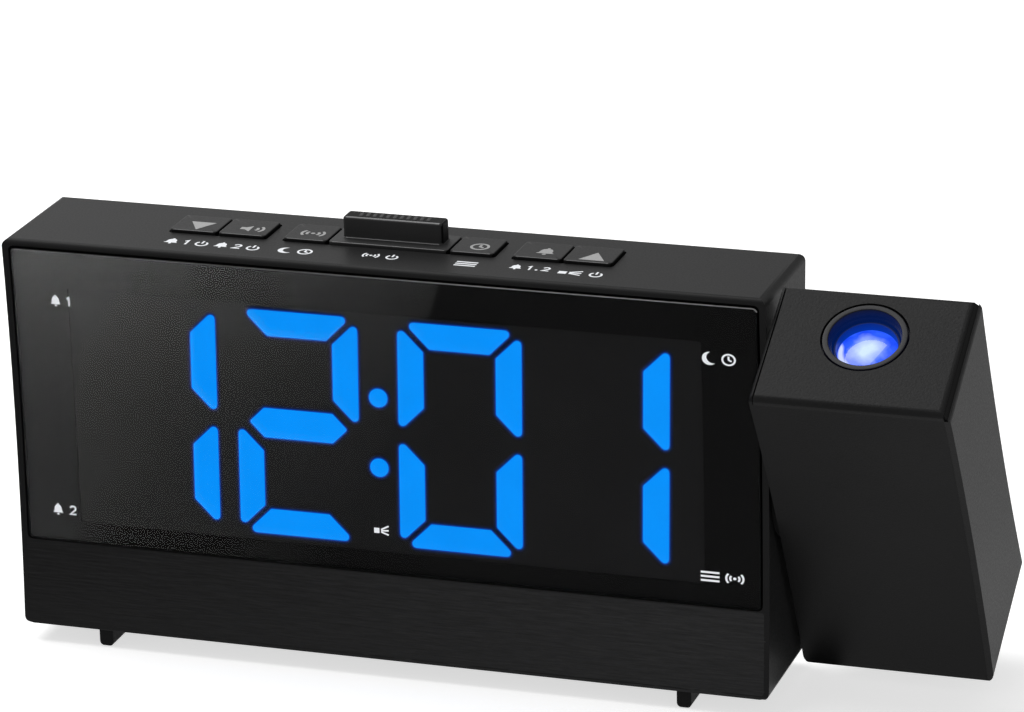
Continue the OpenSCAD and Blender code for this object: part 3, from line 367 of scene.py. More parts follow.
def flare_towards(tree, x, y, dx, dy, bright, start, end):
    """Light on the side of the lens that lies in a direction."""
    reach = calc(tree, "ADD", calc(tree, "MULTIPLY", x, dx), calc(tree, "MULTIPLY", y, dy))
    return spread(tree, reach, 0.0, bright, start, end)


def lens_glow(name):
    """Projection lens with the blue lamp behind it: a pale middle and bright flares along its rim."""
    m, t = new_material(name)
    x, y = strip_values(t)
    r = calc(t, "SQRT", calc(t, "ADD", calc(t, "MULTIPLY", x, x), calc(t, "MULTIPLY", y, y)))
    wave = noise_tex(t, coords(t), 0.35, 2.0)
    wobble = spread(t, wave, -0.12, 0.12)
    middle = spread(t, calc(t, "ADD", r, wobble), 1.0, 0.0, 0.15, 0.72)
    rim = calc(t, "MULTIPLY", spread(t, r, 0.0, 1.0, 0.74, 0.84), spread(t, r, 1.0, 0.0, 0.93, 1.0))
    left, low, right = (flare_towards(t, x, y, *values) for values in FLARES)
    flare = calc(t, "MULTIPLY", rim, calc(t, "MAXIMUM", calc(t, "MAXIMUM", left, low), right))
    back = ramp(t, wave, [(0.3, (0.01, 0.06, 0.85)), (0.7, (0.03, 0.12, 1.0))])
    centre = blend_colours(t, middle, back, (0.48, 0.64, 1.0))
    principled(t, Base_Color=(0.01, 0.03, 0.2), Roughness=0.03, Specular_IOR_Level=0.5,
               Emission_Color=blend_colours(t, flare, centre, (0.62, 0.7, 1.0)), Emission_Strength=1.0)
    return m


material("lens_lit", lens_glow)


def lit_bore(name):
    """Dark ring plastic that catches the lens's blue light, stronger further down."""
    m, t = new_material(name)
    _, down = strip_values(t)
    fine = noise_tex(t, coords(t), 4.0, 3.0)
    light = ramp(t, down, [(0.1, (0.0, 0.0, 0.002)), (0.6, (0.0, 0.01, 0.09)), (1.0, (0.0, 0.05, 0.6))])
    principled(t, Base_Color=ramp(t, fine, [(0.3, shade(BLACK, 0.9)), (0.7, shade(BLACK, 1.2))]),
               Roughness=spread(t, fine, 0.3, 0.4), Specular_IOR_Level=0.16, Emission_Color=light,
               Emission_Strength=0.9)
    return m


material("lit_bore", lit_bore)


def lens_glass(name):
    m, t = new_material(name)
    haze = noise_tex(t, coords(t), 0.3, 2.0)
    principled(t, Base_Color=ramp(t, haze, [(0.3, (0.8, 0.86, 1.0)), (0.7, (0.86, 0.92, 1.0))]),
               Roughness=0.02, Transmission_Weight=1.0, IOR=1.5)
    return m


material("lens_glass", lens_glass)

# ---------- CAD nodes: materials and rounded edges ----------

record = frame["record"]
slot_of = {s["node"]: s["material_slot"] for s in record["subparts"]}


WELD = 0.00001                              # vertices this near become one, in metres
FLAT_ANGLE, EDGE_ANGLE, EDGE_STEPS = math.radians(0.5), math.radians(30), 2


def soften(o, width):
    """Rounds an object's edges with modifiers, its own mesh left as it is."""
    w = o.modifiers.new("weld", "WELD")
    w.merge_threshold = WELD
    d = o.modifiers.new("flat", "DECIMATE")
    d.decimate_type = "DISSOLVE"
    d.angle_limit = FLAT_ANGLE
    b = o.modifiers.new("round", "BEVEL")
    b.width = width * MM
    b.segments = EDGE_STEPS
    b.limit_method = "ANGLE"
    b.angle_limit = EDGE_ANGLE
    b.use_clamp_overlap = True
    n = o.modifiers.new("normals", "WEIGHTED_NORMAL")
    n.keep_sharp = True


EDGES = {"battery_door": 0.2, "foot_left": 0.25, "foot_right": 0.25, "dc_jack": 0.15, "usb_port": 0.08,
         "swivel_washer": 0.1, "antenna_grommet": 0.2}

for name, o in frame["nodes"].items():
    o.data.materials.clear()
    o.data.materials.append(MATS[slot_of[name]])
    if name in EDGES:
        soften(o, EDGES[name])

# ---------- drawing in mesh ----------


def piece(name, bm, mats, body, replaces=(), angle=35, soft=0):
    """Turns a bmesh drawn in millimetres into a piece that rides on a body."""
    bmesh.ops.recalc_face_normals(bm, faces=bm.faces)
    for f in bm.faces:
        f.smooth = True
    for e in bm.edges:
        e.smooth = len(e.link_faces) == 2 and e.calc_face_angle(0) < math.radians(angle)
    bmesh.ops.scale(bm, vec=(MM, MM, MM), verts=bm.verts)
    me = bpy.data.meshes.new(name)
    bm.to_mesh(me)
    bm.free()
    for m in mats:
        me.materials.append(MATS[m])
    o = bpy.data.objects.new(name, me)
    bpy.context.scene.collection.objects.link(o)
    if soft:
        soften(o, soft)
    else:
        o.modifiers.new("normals", "WEIGHTED_NORMAL").keep_sharp = True
    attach(o, body)
    if replaces:
        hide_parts(*replaces)
    return o


def arc(x, y, r, start, end, n=12):
    return [(x + r * math.cos(math.radians(start + (end - start) * k / n)),
             y + r * math.sin(math.radians(start + (end - start) * k / n))) for k in range(n + 1)]


def rect_loop(u, v, r, inset=0.0, n=5):
    """Rectangle with round corners, anticlockwise."""
    u0, u1, v0, v1 = u[0] + inset, u[1] - inset, v[0] + inset, v[1] - inset
    r = max(r - inset, 0.05)
    return (arc(u1 - r, v1 - r, r, 0, 90, n) + arc(u0 + r, v1 - r, r, 90, 180, n)
            + arc(u0 + r, v0 + r, r, 180, 270, n) + arc(u1 - r, v0 + r, r, 270, 360, n))


def loft(bm, loops, mats=None):
    """Joins loops of points in order and closes both ends."""
    rings = [[bm.verts.new(p) for p in loop] for loop in loops]
    for n, (a, b) in enumerate(zip(rings, rings[1:])):
        for k in range(len(a)):
            j = (k + 1) % len(a)
            f = bm.faces.new((a[k], a[j], b[j], b[k]))
            f.material_index = mats[n] if mats else 0
    bm.faces.new(list(reversed(rings[0])))
    bm.faces.new(rings[-1])


def rounding(height, r, n=4):
    """Inset and height of a rounded top edge, from the side up."""
    return [(r - r * math.cos(math.pi / 2 * k / n), height - r + r * math.sin(math.pi / 2 * k / n))
            for k in range(n + 1)]


BEND_STEP = 3.0                             # height of a strip


def bend_front(bm):
    """Cuts a flat sheet into strips and lays it on the case's curved front."""
    low, high = (f(v.co.z for v in bm.verts) for f in (min, max))
    z = math.ceil(low / BEND_STEP + 0.01) * BEND_STEP
    while z < high - 0.01:
        bmesh.ops.bisect_plane(bm, geom=bm.verts[:] + bm.edges[:] + bm.faces[:], dist=1e-4,
                               plane_co=(0, 0, z), plane_no=(0, 0, 1))
        z += BEND_STEP
    for v in bm.verts:
        v.co.y = front_y(v.co.z, v.co.y)


# ---------- case and head, their corners rounded ----------


def straight(x, y, z):
    """Place in the case's frame, which is the model's own."""
    return (x, y, z)


PRISM_REACH = 60                            # how far the cutting prisms run to the front and back
PAST = 0.02                                 # how far a prism's flat sides stand clear of the node's
CLEAR_START = -3                            # a prism that starts here leaves its node's left side alone
CASE_RADII, CASE_SOFT, HEAD_SOFT = (2, 2, 2, 2), 0.2, 0.12
HEAD_SHELLS = [                             # node, start of its prism, corner radii and material
    ("projector_shell", -PAST, (2.8, 1.1, 3, 3.4), "shell_plastic"),
    ("projector_side_cover", CLEAR_START, (2.8, 1, 1, 3.4), "cover_plastic"),
    ("projector_top_plate", PLATE_X - PAST, (2.8, 0.5, 1, 1), "cover_plastic")]
SEAM = [(0.02, 1.95), (0.88, 1.95), (0.88, 1.3), (0.45, 0.85), (0.02, 0.5)]   # past the shell, below the top
SEAM_REACH = 15.6


def corner_loop(x, z, radii, n=8):
    """Rectangle whose corners have their own radii, anticlockwise from the upper right."""
    out = []
    for k, r in enumerate(radii):
        side, top = (1, -1, -1, 1)[k], (1, 1, -1, -1)[k]
        out += arc(x[side > 0] - side * r, z[top > 0] - top * r, r, 90 * k, 90 * (k + 1), n)
    return out


def rounded_shell(node, x, z, radii, place, body, soft, mat="case_plastic"):
    """Cuts a node's outer corners round with a prism; the result stands for the node."""
    bm = bmesh.new()
    loft(bm, [[place(a, y, b) for a, b in corner_loop(x, z, radii)]
              for y in (-PRISM_REACH, PRISM_REACH)])
    bmesh.ops.recalc_face_normals(bm, faces=bm.faces)
    bmesh.ops.scale(bm, vec=(MM, MM, MM), verts=bm.verts)
    me = bpy.data.meshes.new("prism")
    bm.to_mesh(me)
    bm.free()
    prism = bpy.data.objects.new("prism", me)
    source = frame["nodes"][node]
    cut = bpy.data.objects.new("cut", source.data)
    cut.matrix_world = source.matrix_world
    for o in (prism, cut):
        bpy.context.scene.collection.objects.link(o)
    cut.modifiers.new("weld", "WELD").merge_threshold = WELD
    b = cut.modifiers.new("cut", "BOOLEAN")
    b.operation, b.solver, b.object = "INTERSECT", "EXACT", prism
    made = bpy.data.meshes.new_from_object(cut.evaluated_get(bpy.context.evaluated_depsgraph_get()))
    bm = bmesh.new()
    bm.from_mesh(made)
    bmesh.ops.transform(bm, matrix=Matrix.Scale(1 / MM, 4) @ cut.matrix_world, verts=bm.verts)
    for f in bm.faces:
        f.material_index = 0
    for o in (prism, cut):
        bpy.data.objects.remove(o)
    bpy.data.meshes.remove(made)
    piece(node + "_rounded", bm, [mat], body, [node], soft=soft)


for node in ("front_case", "rear_cover"):
    rounded_shell(node, (X0 - PAST, X0 + BODY_W + PAST), (Z0 - PAST, TOP_Z + PAST), CASE_RADII, straight,
                  "case", CASE_SOFT)
for node, start, radii, mat in HEAD_SHELLS:
    rounded_shell(node, (start, HEAD_W + PAST), (-HEAD_TOP - PAST, HEAD_TOP + PAST), radii, on_head,
                  "projector_head", HEAD_SOFT, mat)

bm = bmesh.new()
loft(bm, [[on_head(HEAD_IN + x, y, HEAD_TOP - z) for x, z in SEAM] for y in (-SEAM_REACH, SEAM_REACH)])
piece("head_seam", bm, ["soft_black"], "projector_head")

# ---------- front window and band ----------

WINDOW_U, WINDOW_V, WINDOW_R = (1.85, 172.15), (20.5, 89.25), 1.2
# only the top of the window's edge carries the painted highlight; lower down the edge is black
PALE_EDGE = 1                               # the edge is pale only this near to the window's top
WINDOW_STEPS = [(0, 1.25), (0, 0.32), (0.08, 0.18), (0.22, 0.1)]     # inset and depth


def front_loop(u, v, r, inset, depth):
    return [(X0 + a, depth, Z0 + b) for a, b in rect_loop(u, v, r, inset)]


bm = bmesh.new()
loft(bm, [front_loop(WINDOW_U, WINDOW_V, WINDOW_R, i, d) for i, d in WINDOW_STEPS], mats=[2, 1, 1])
bend_front(bm)
for f in bm.faces:
    c = f.calc_center_median()
    if f.material_index == 1 and c.z < Z0 + WINDOW_V[1] - PALE_EDGE:
        f.material_index = 2
piece("window_pane", bm, ["tinted_window", "acrylic_edge", "black_print"], "case",
      ["front_window"])

BAND_U, BAND_V, BAND_R = (0.3, 173.7), (0.3, 20.2), 1.75
BAND_COLS, BAND_ROWS = 300, 120
BAND_PROUD = -0.03                          # the sheet laps over the rim that holds it
BAND_EDGE, BAND_BACK = 0.1, 0.93            # depth of its edge and of its back
LONG_STREAK, SHORT_STREAK, GROOVE = (11, 0.55), (2.6, 0.3), (16, 0.9)        # length and height of each
DRIFT, DRIFT_SIZE = 0.5, (9, 2.5)           # how far the streaks wander up and down
GROOVE_SHARE = 0.28                         # noise under this makes a groove
LONG_DEPTH, SHORT_DEPTH, GROOVE_DEPTH = 0.035, 0.03, 0.06


def band_noise(x, z, size, seed):
    """Noise drawn out to streaks of a size."""
    return noise.noise((x / size[0], z / size[1], seed))


def grain_depth(x, z):
    """Depth of the band's embossed streaks."""
    z_drifted = z + DRIFT * band_noise(x, z, DRIFT_SIZE, 3.0)
    long = band_noise(x, z_drifted, LONG_STREAK, 0.0)
    short = band_noise(x, z_drifted, SHORT_STREAK, 7.0)
    groove = max(0.0, GROOVE_SHARE - abs(band_noise(x, z_drifted, GROOVE, 11.0))) / GROOVE_SHARE
    return LONG_DEPTH * (long + 0.5) + SHORT_DEPTH * (short + 0.5) + GROOVE_DEPTH * groove ** 3


def make_band():
    bm = bmesh.new()
    rows = []
    for j in range(BAND_ROWS + 1):
        up = (BAND_V[1] - BAND_V[0]) * j / BAND_ROWS
        z = Z0 + BAND_V[0] + up
        cut = BAND_R - math.sqrt(BAND_R ** 2 - max(0.0, BAND_R - up) ** 2)
        row = []
        for i in range(BAND_COLS + 1):
            x = X0 + BAND_U[0] + cut + (BAND_U[1] - BAND_U[0] - 2 * cut) * i / BAND_COLS
            edge = i in (0, BAND_COLS) or j in (0, BAND_ROWS)
            depth = BAND_EDGE if edge else grain_depth(x, z)
            row.append(bm.verts.new((x, front_y(z, BAND_PROUD + depth), z)))
        rows.append(row)
    for a, b in zip(rows, rows[1:]):
        for i in range(BAND_COLS):
            bm.faces.new((a[i], a[i + 1], b[i + 1], b[i]))
    rim = [e for e in bm.edges if e.is_boundary]
    out = bmesh.ops.extrude_edge_only(bm, edges=rim)["geom"]
    for v in (g for g in out if isinstance(g, bmesh.types.BMVert)):
        v.co.y = front_y(v.co.z, BAND_BACK)
    bmesh.ops.edgeloop_fill(bm, edges=[e for e in bm.edges if e.is_boundary])
    piece("grained_band", bm, ["band_plastic"], "case", ["front_band"], angle=50)


make_band()

# ---------- display ----------


def fillet(points, radii, n=4):
    """Rounds a polygon's corners, each by its own radius."""
    out = []
    for k, (p, r) in enumerate(zip(points, radii)):
        p = Vector(p)
        a = (Vector(points[k - 1]) - p).normalized()
        b = (Vector(points[(k + 1) % len(points)]) - p).normalized()
        half = a.angle(b) / 2
        c = p + (a + b).normalized() * (r / math.sin(half))
        s, e = (p + d * (r / math.tan(half)) - c for d in (a, b))
        start = math.atan2(s.y, s.x)
        turn = (math.atan2(e.y, e.x) - start + math.pi) % (2 * math.pi) - math.pi
        out += [(c.x + r * math.cos(start + turn * j / n), c.y + r * math.sin(start + turn * j / n))
                for j in range(n + 1)]
    return out


DIGIT_W, DIGIT_H, BAR_W = 28.2, 52.2, 5.85
FLAT_LEN, TALL_LEN, BAR_CUT, MIDDLE_H = 22.8, 22.0, 1.29, 6.85
END_RADII = [0.95, 0.5, 0.5, 0.95]
MIDDLE_RADII = [0.5, 0.4, 0.4, 0.5, 0.4, 0.4]
COLON_V, COLON_R = 8.1, 2.125
SLANT = math.tan(math.radians(1.1))
DIGIT_US = (-51.8, -18.7, 18.7, 51.8)
LIT = ("bc", "abdeg", "abcdef", "bc")


def end_bar(length):
    a, b = length / 2 + BAR_CUT, length / 2 - BAR_W + BAR_CUT
    return fillet([(-a, BAR_W), (-b, 0), (b, 0), (a, BAR_W)], END_RADII)


def middle_bar(length):
    a, h = length / 2, MIDDLE_H / 2
    return fillet([(-a, 0), (-a + h, -h), (a - h, -h), (a, 0), (a - h, h), (-a + h, h)], MIDDLE_RADII)


def turned(points, angle, x, y):
    """Turns an outline by an angle and moves it."""
    c, s = math.cos(math.radians(angle)), math.sin(math.radians(angle))
    return [(c * a - s * b + x, s * a + c * b + y) for a, b in points]


def bar(letter):
    """Outline of one of a digit's seven bars, a to g, from the digit's middle."""
    w, h = DIGIT_W / 2 - BAR_W, DIGIT_H / 4
    if letter == "g":
        return middle_bar(FLAT_LEN)
    length, angle, x, y = {"a": (FLAT_LEN, 0, 0, 2 * h - BAR_W), "d": (FLAT_LEN, 180, 0, BAR_W - 2 * h),
                           "b": (TALL_LEN, -90, w, h), "c": (TALL_LEN, -90, w, -h),
                           "e": (TALL_LEN, 90, -w, -h), "f": (TALL_LEN, 90, -w, h)}[letter]
    return turned(end_bar(length), angle, x, y)


def lit_outlines():
    """Outlines of the bars that are lit and of the colon's dots."""
    shapes = [[(u + x, y) for x, y in bar(letter)] for u, letters in zip(DIGIT_US, LIT) for letter in letters]
    shapes += [arc(0, s * COLON_V, COLON_R, 0, 360, 28)[:-1] for s in (-1, 1)]
    return [[(x + y * SLANT, y) for x, y in s] for s in shapes]


def on_display(x, y, forward):
    """Place on the display, x and y from the digits' middle."""
    return (X0 + DIGITS_U + x, DISPLAY_Y - forward, Z0 + DIGITS_V + y)


def grow(points, d):
    """Moves an outline out by d along its corners' normals."""
    out = []
    area = sum(points[k - 1][0] * p[1] - p[0] * points[k - 1][1] for k, p in enumerate(points))
    for k, p in enumerate(points):
        t = (Vector(points[(k + 1) % len(points)]) - Vector(points[k - 1])).normalized()
        n = Vector((t.y, -t.x)) * (1 if area > 0 else -1)
        out.append((p[0] + n.x * d, p[1] + n.y * d))
    return out


FOIL_LAP = -1.5                             # the foil reaches under the mask
FOIL_R, FOIL_FACES = 2.5, (0.002, 0.02)     # its corners, and how far forward its faces lie
BAR_FACES, HALO_FACE = (-2.35, 0.05), 0.03  # and the same for the bars and their glow
HALO_STEPS = [(-0.1, 1.0), (0.3, 0.55), (0.95, 0.0)]         # distance from the bar, brightness

bm = bmesh.new()
loft(bm, [[(X0 + a, DISPLAY_Y - forward, Z0 + b) for a, b in rect_loop(VIEW_U, VIEW_V, FOIL_R, FOIL_LAP)]
          for forward in FOIL_FACES])
piece("display_foil", bm, ["display_grey"], "case")

bm = bmesh.new()
for shape in lit_outlines():
    loft(bm, [[on_display(x, y, f) for x, y in shape] for f in BAR_FACES])
piece("lit_bars", bm, ["lit_blue"], "case", ["lit_segments"])


def value_faces(bm, rings, values):
    """Joins rings of vertices and writes each ring's value in the strip map."""
    strip = bm.loops.layers.uv.get("strip") or bm.loops.layers.uv.new("strip")
    for a, b, va, vb in zip(rings, rings[1:], values, values[1:]):
        for k in range(len(a)):
            j = (k + 1) % len(a)
            f = bm.faces.new((a[k], a[j], b[j], b[k]))
            for loop, value in zip(f.loops, (va, va, vb, vb)):
                loop[strip].uv = (0.5, value)


bm = bmesh.new()
bm.loops.layers.uv.new("strip")
for shape in lit_outlines():
    rings = [[bm.verts.new(on_display(x, y, HALO_FACE)) for x, y in grow(shape, d)] for d, _ in HALO_STEPS]
    value_faces(bm, rings, [v for _, v in HALO_STEPS])
piece("bar_halo", bm, ["halo"], "case")

# ---------- keys and snooze bar ----------

# middle and width of each, from the case's left
KEYS = {"button_down": (40.05, 11.1), "button_volume": (51.45, 11.1), "button_radio": (66.25, 10.2),
        "snooze_bar": (85.4, 27.5), "button_time": (104.55, 10.2), "button_alarm": (119.35, 11.1),
        "button_up": (130.75, 11.1)}
KEY_Y, KEY_BASE, KEY_TOP = (-2.9, 7.6), 92.2, 95.9
KEY_INSET, KEY_R, KEY_EDGE = 0.07, 0.8, 0.28
KEY_DISH = (2.5, 0.02)                      # inset and depth of the shallow hollow in its top
# key plastic, the painted edge highlight, black print as painted shade on right sides, and the matt top
KEY_MATS = ["key_plastic", "worn_edge", "black_print", "soft_black"]
BAR_X, BAR_Y, BAR_TOP = (X0 + 73.9, X0 + 96.9), (0.7, 5.3), 100.68
BAR_R, BAR_EDGE = 0.75, 0.6
BAR_FOOT = [(-0.25, -0.3), (-0.25, 0.02), (-0.08, 0.12), (0, 0.35)]         # inset, height over the key
RIBS_EACH_WAY, RIB_PITCH, RIB_SLANT, RIB_Y, RIB_R = 5, 1.55, 0.12, 3.0, 0.3
RIB_STEPS = [(0.42, 1.2, -0.3), (0.42, 1.2, 0.04), (0.3, 1.08, 0.12)]       # half sizes, height over the bar
SMALL_FACE = 0.3                            # faces under this area belong to rounded corners
SLOPE, SIDEWAYS, LEVEL = (0.35, 0.6), 0.7, 0.9          # least parts of a face's normal for the painted highlight, the painted shade on right sides and the matt top
TOP_DEPTH = 0.2                             # the matt top starts this far down


def block_up(bm, x, y, r, steps):
    """Rounded block whose loops go up by inset and height."""
    loft(bm, [[(a, b, z) for a, b in rect_loop(x, y, r, i)] for i, z in steps])


def dress_faces(bm):
    """Painted highlight on the edges between front and top, painted shade in black print on the right sides,
    and a matt top on the snooze bar.
    """
    bmesh.ops.recalc_face_normals(bm, faces=bm.faces)
    for f in bm.faces:
        right, forward, up = f.normal.x, -f.normal.y, f.normal.z
        # edges between front and top get a painted highlight
        if forward > SLOPE[0] and up > SLOPE[1] and f.calc_area() > SMALL_FACE:
            f.material_index = 1
        # right sides get black print as painted shade
        elif right > SIDEWAYS:
            f.material_index = 2
        elif up > LEVEL and f.calc_center_median().z > BAR_TOP - TOP_DEPTH:
            f.material_index = 3


def key_cap(bm, name):
    """A key's cap, with a rounded edge and a shallow hollow."""
    u, w = KEYS[name]
    x = (X0 + u - w / 2 + KEY_INSET, X0 + u + w / 2 - KEY_INSET)
    block_up(bm, x, (KEY_Y[0] + KEY_INSET, KEY_Y[1] - KEY_INSET), KEY_R,
             [(0, KEY_BASE)] + rounding(KEY_TOP, KEY_EDGE) + [(KEY_DISH[0], KEY_TOP - KEY_DISH[1])])


for name in KEYS:
    if name != "snooze_bar":
        bm = bmesh.new()
        key_cap(bm, name)
        dress_faces(bm)
        piece(name + "_cap", bm, KEY_MATS, name, [name])


def rib_loop(x, w, d, z):
    """One loop of a slanted rib on the snooze bar."""
    return [(x + a - RIB_SLANT * b, RIB_Y + b, z) for a, b in rect_loop((-w, w), (-d, d), RIB_R)]


def make_snooze():
    """The snooze bar: its key, the upright bar and the ribs that stand for its raised word."""
    bm = bmesh.new()
    key_cap(bm, "snooze_bar")
    foot = [(i, KEY_TOP + z) for i, z in BAR_FOOT]
    block_up(bm, BAR_X, BAR_Y, BAR_R, foot + rounding(BAR_TOP, BAR_EDGE, 5))
    dress_faces(bm)
    middle = sum(BAR_X) / 2
    for k in range(-RIBS_EACH_WAY, RIBS_EACH_WAY + 1):
        loft(bm, [rib_loop(middle + RIB_PITCH * k, w, d, BAR_TOP + z) for w, d, z in RIB_STEPS])
    piece("snooze_key", bm, ["snooze_plastic"] + KEY_MATS[1:], "snooze_bar", ["snooze_bar"])


make_snooze()

# ---------- printed marks ----------

MITRE_LIMIT = 0.5                           # keeps a sharp corner of a line from running out


def ribbon(points, width, closed=False):
    """Quads along a line, joined by mitres."""
    pts = [Vector(p) for p in points]
    n = len(pts)
    left, right = [], []
    for k, p in enumerate(pts):
        a = pts[k - 1] if k or closed else p - (pts[1] - p)
        b = pts[(k + 1) % n] if k < n - 1 or closed else p + (p - pts[k - 1])
        d0, d1 = (p - a).normalized(), (b - p).normalized()
        t = (d0 + d1).normalized()
        side = Vector((-t.y, t.x))
        reach = width / 2 / max(MITRE_LIMIT, side.dot(Vector((-d0.y, d0.x))))
        left.append(p + side * reach)
        right.append(p - side * reach)
    return [(left[k], right[k], right[(k + 1) % n], left[(k + 1) % n]) for k in range(n if closed else n - 1)]


def disc(x, y, r):
    """One patch: a filled circle."""
    return [arc(x, y, r, 0, 360, 14)[:-1]]


def crescent():
    """Outline of a moon: a circle with another one cut out of it."""
    big, small, shift, tilt = 0.5, 0.45, 0.26, 20
    reach = math.degrees(math.acos((big ** 2 + shift ** 2 - small ** 2) / (2 * big * shift)))
    inner = math.degrees(math.acos((small ** 2 + shift ** 2 - big ** 2) / (2 * small * shift)))
    x, y = shift * math.cos(math.radians(tilt)), shift * math.sin(math.radians(tilt))
    return [arc(0, 0, big, tilt + reach, tilt + 360 - reach, 18)
            + arc(x, y, small, tilt + 180 + inner, tilt + 180 - inner, 14)[1:-1]]


W = 0.13                                    # usual width of a line in a mark
WIDE = 0.15                                 # and in a numeral
MARKS = {                                   # patches of polygons, about one unit high
    "bell": [[[(-0.46, -0.28), (-0.34, -0.14), (-0.31, 0.12)] + arc(0, 0.12, 0.3, 170, 10, 9)
              + [(0.31, 0.12), (0.34, -0.14), (0.46, -0.28)]], disc(0, -0.4, 0.1), disc(0, 0.47, 0.07)],
    "moon": [crescent()],
    "power": [ribbon(arc(0, -0.04, 0.38, 128, 412, 14), W), ribbon([(0, 0.5), (0, 0.04)], W)],
    "waves": [disc(0, 0, 0.11)] + [ribbon(arc(0, 0, r, a - 42, a + 42, 6), W)
                                   for a in (0, 180) for r in (0.3, 0.55)],
    "speaker": [[[(-0.55, -0.16), (-0.32, -0.16), (-0.05, -0.42), (-0.05, 0.42), (-0.32, 0.16),
                  (-0.55, 0.16)]]]
    + [ribbon(arc(0.0, 0, r, -42, 42, 6), W) for r in (0.28, 0.54)],
    "clock": [ribbon(arc(0, 0, 0.43, 0, 360, 20)[:-1], W, True),
              ribbon([(0, 0.28), (0, 0), (0.2, -0.12)], W)],
    "list": [ribbon([(-0.5, y), (0.5, y)], 0.17) for y in (-0.36, 0, 0.36)],
    "beam": [[[(-0.75, -0.3), (-0.3, -0.3), (-0.3, 0.14), (-0.75, 0.14)]]]
    + [ribbon([(-0.15, -0.08 + 0.1 * s), (0.5, -0.02 + 0.38 * s)], W) for s in (-1, 0, 1)],
    "one": [ribbon([(-0.16, 0.22), (0.04, 0.42), (0.04, -0.42)], WIDE)],
    "two": [ribbon(arc(0, 0.17, 0.23, 165, -30, 8) + [(-0.23, -0.36), (0.28, -0.36)], WIDE)],
    "dot": [disc(0, 0, 0.12)],
    "down": [[[(-0.5, 0.45), (0, -0.45), (0.5, 0.45)]]],
    "up": [[[(-0.5, -0.45), (0.5, -0.45), (0, 0.45)]]],
}
INK = 0.03                                  # how thick the ink is


def print_marks(name, marks, place, out, mat, body):
    """Raised ink: marks hold a shape, its middle, its height and its stretch."""
    bm = bmesh.new()
    for shape, mu, mv, size, stretch in marks:
        for patch in MARKS[shape]:
            seen = {}

            def vert(p):
                key = (round(p[0], 4), round(p[1], 4))
                if key not in seen:
                    seen[key] = bm.verts.new(place(mu + key[0] * size * stretch, mv + key[1] * size))
                return seen[key]

            faces = [bm.faces.new([vert(p) for p in poly]) for poly in patch]
            top = bmesh.ops.extrude_face_region(bm, geom=faces, use_keep_orig=True)["geom"]
            lifted = [g for g in top if isinstance(g, bmesh.types.BMVert)]
            bmesh.ops.translate(bm, vec=Vector(out) * INK, verts=lifted)
    piece(name, bm, [mat], body)


def at_height(z):
    """Places marks on a level face, from the case's left and from its front edge."""
    return lambda u, y: (X0 + u, YF + y, z)


CASE_MARKS = [("bell", 37.5, 7.3, 3.4, 1), ("one", 41.0, 7.2, 3.2, 1), ("power", 44.6, 7.1, 3.4, 1),
              ("bell", 49.2, 7.2, 3.4, 1), ("two", 52.9, 7.1, 3.2, 1), ("power", 56.6, 7.0, 3.4, 1),
              ("moon", 64.2, 7.2, 3.6, 1), ("clock", 68.6, 7.2, 3.5, 1),
              ("waves", 83.4, 8.3, 3.2, 1), ("power", 88.3, 8.2, 3.2, 1),
              ("list", 105.3, 7.7, 3.2, 1.5),
              ("bell", 116.4, 8.3, 3.0, 1), ("one", 119.5, 8.3, 2.8, 1), ("dot", 121.2, 7.4, 2.6, 1),
              ("two", 123.2, 8.3, 2.8, 1),
              ("beam", 129.3, 7.5, 3.4, 1.2), ("power", 134.6, 7.4, 3.4, 1)]
print_marks("case_marks", CASE_MARKS, at_height(TOP_Z), (0, 0, 1), "white_ink", "case")

KEY_MARKS = {"button_down": ("down", 40.4, 16.9, 5.8, 1), "button_up": ("up", 131.3, 17.2, 5.8, 1),
             "button_volume": ("speaker", 52.4, 17.6, 4.4, 1.1),
             "button_radio": ("waves", 66.6, 17.8, 4.2, 1.1),
             "button_time": ("clock", 105.2, 17.6, 4.4, 1), "button_alarm": ("bell", 120.2, 17.8, 4.4, 1)}
for name, mark in KEY_MARKS.items():
    print_marks(name + "_mark", [mark], at_height(KEY_TOP - KEY_DISH[1]), (0, 0, 1), "grey_print", name)

WINDOW_FACE = WINDOW_STEPS[-1][1]           # depth of the window's front
WINDOW_MARKS = [("bell", 11.8, 77.6, 2.7, 1), ("one", 14.9, 77.6, 2.5, 1.1),
                ("bell", 9.2, 28.0, 2.7, 1), ("two", 12.8, 28.0, 2.5, 1.1), ("beam", 86.4, 30.6, 2.7, 1),
                ("moon", 161.4, 77.1, 3, 1.1), ("clock", 165.6, 77.1, 2.8, 1.15),
                ("list", 160.8, 27.3, 2.6, 1.6), ("waves", 166.3, 27.3, 2.8, 1.25)]
print_marks("window_marks", WINDOW_MARKS, lambda u, v: (X0 + u, front_y(Z0 + v, WINDOW_FACE), Z0 + v),
            (0, -1, 0), "white_ink", "case")

# ---------- focus ring, barrel and lens ----------


TURN_STEPS = 96


def lathe(bm, profile, top):
    """Turns a profile of radius, height from its top and strip value round the lens axis."""
    turns = [2 * math.pi * k / TURN_STEPS for k in range(TURN_STEPS)]
    rings = [[bm.verts.new(on_lens(r * math.cos(a), r * math.sin(a), top + z)) for a in turns]
             for r, z, _ in profile]
    value_faces(bm, rings, [v for _, _, v in profile])
    return rings


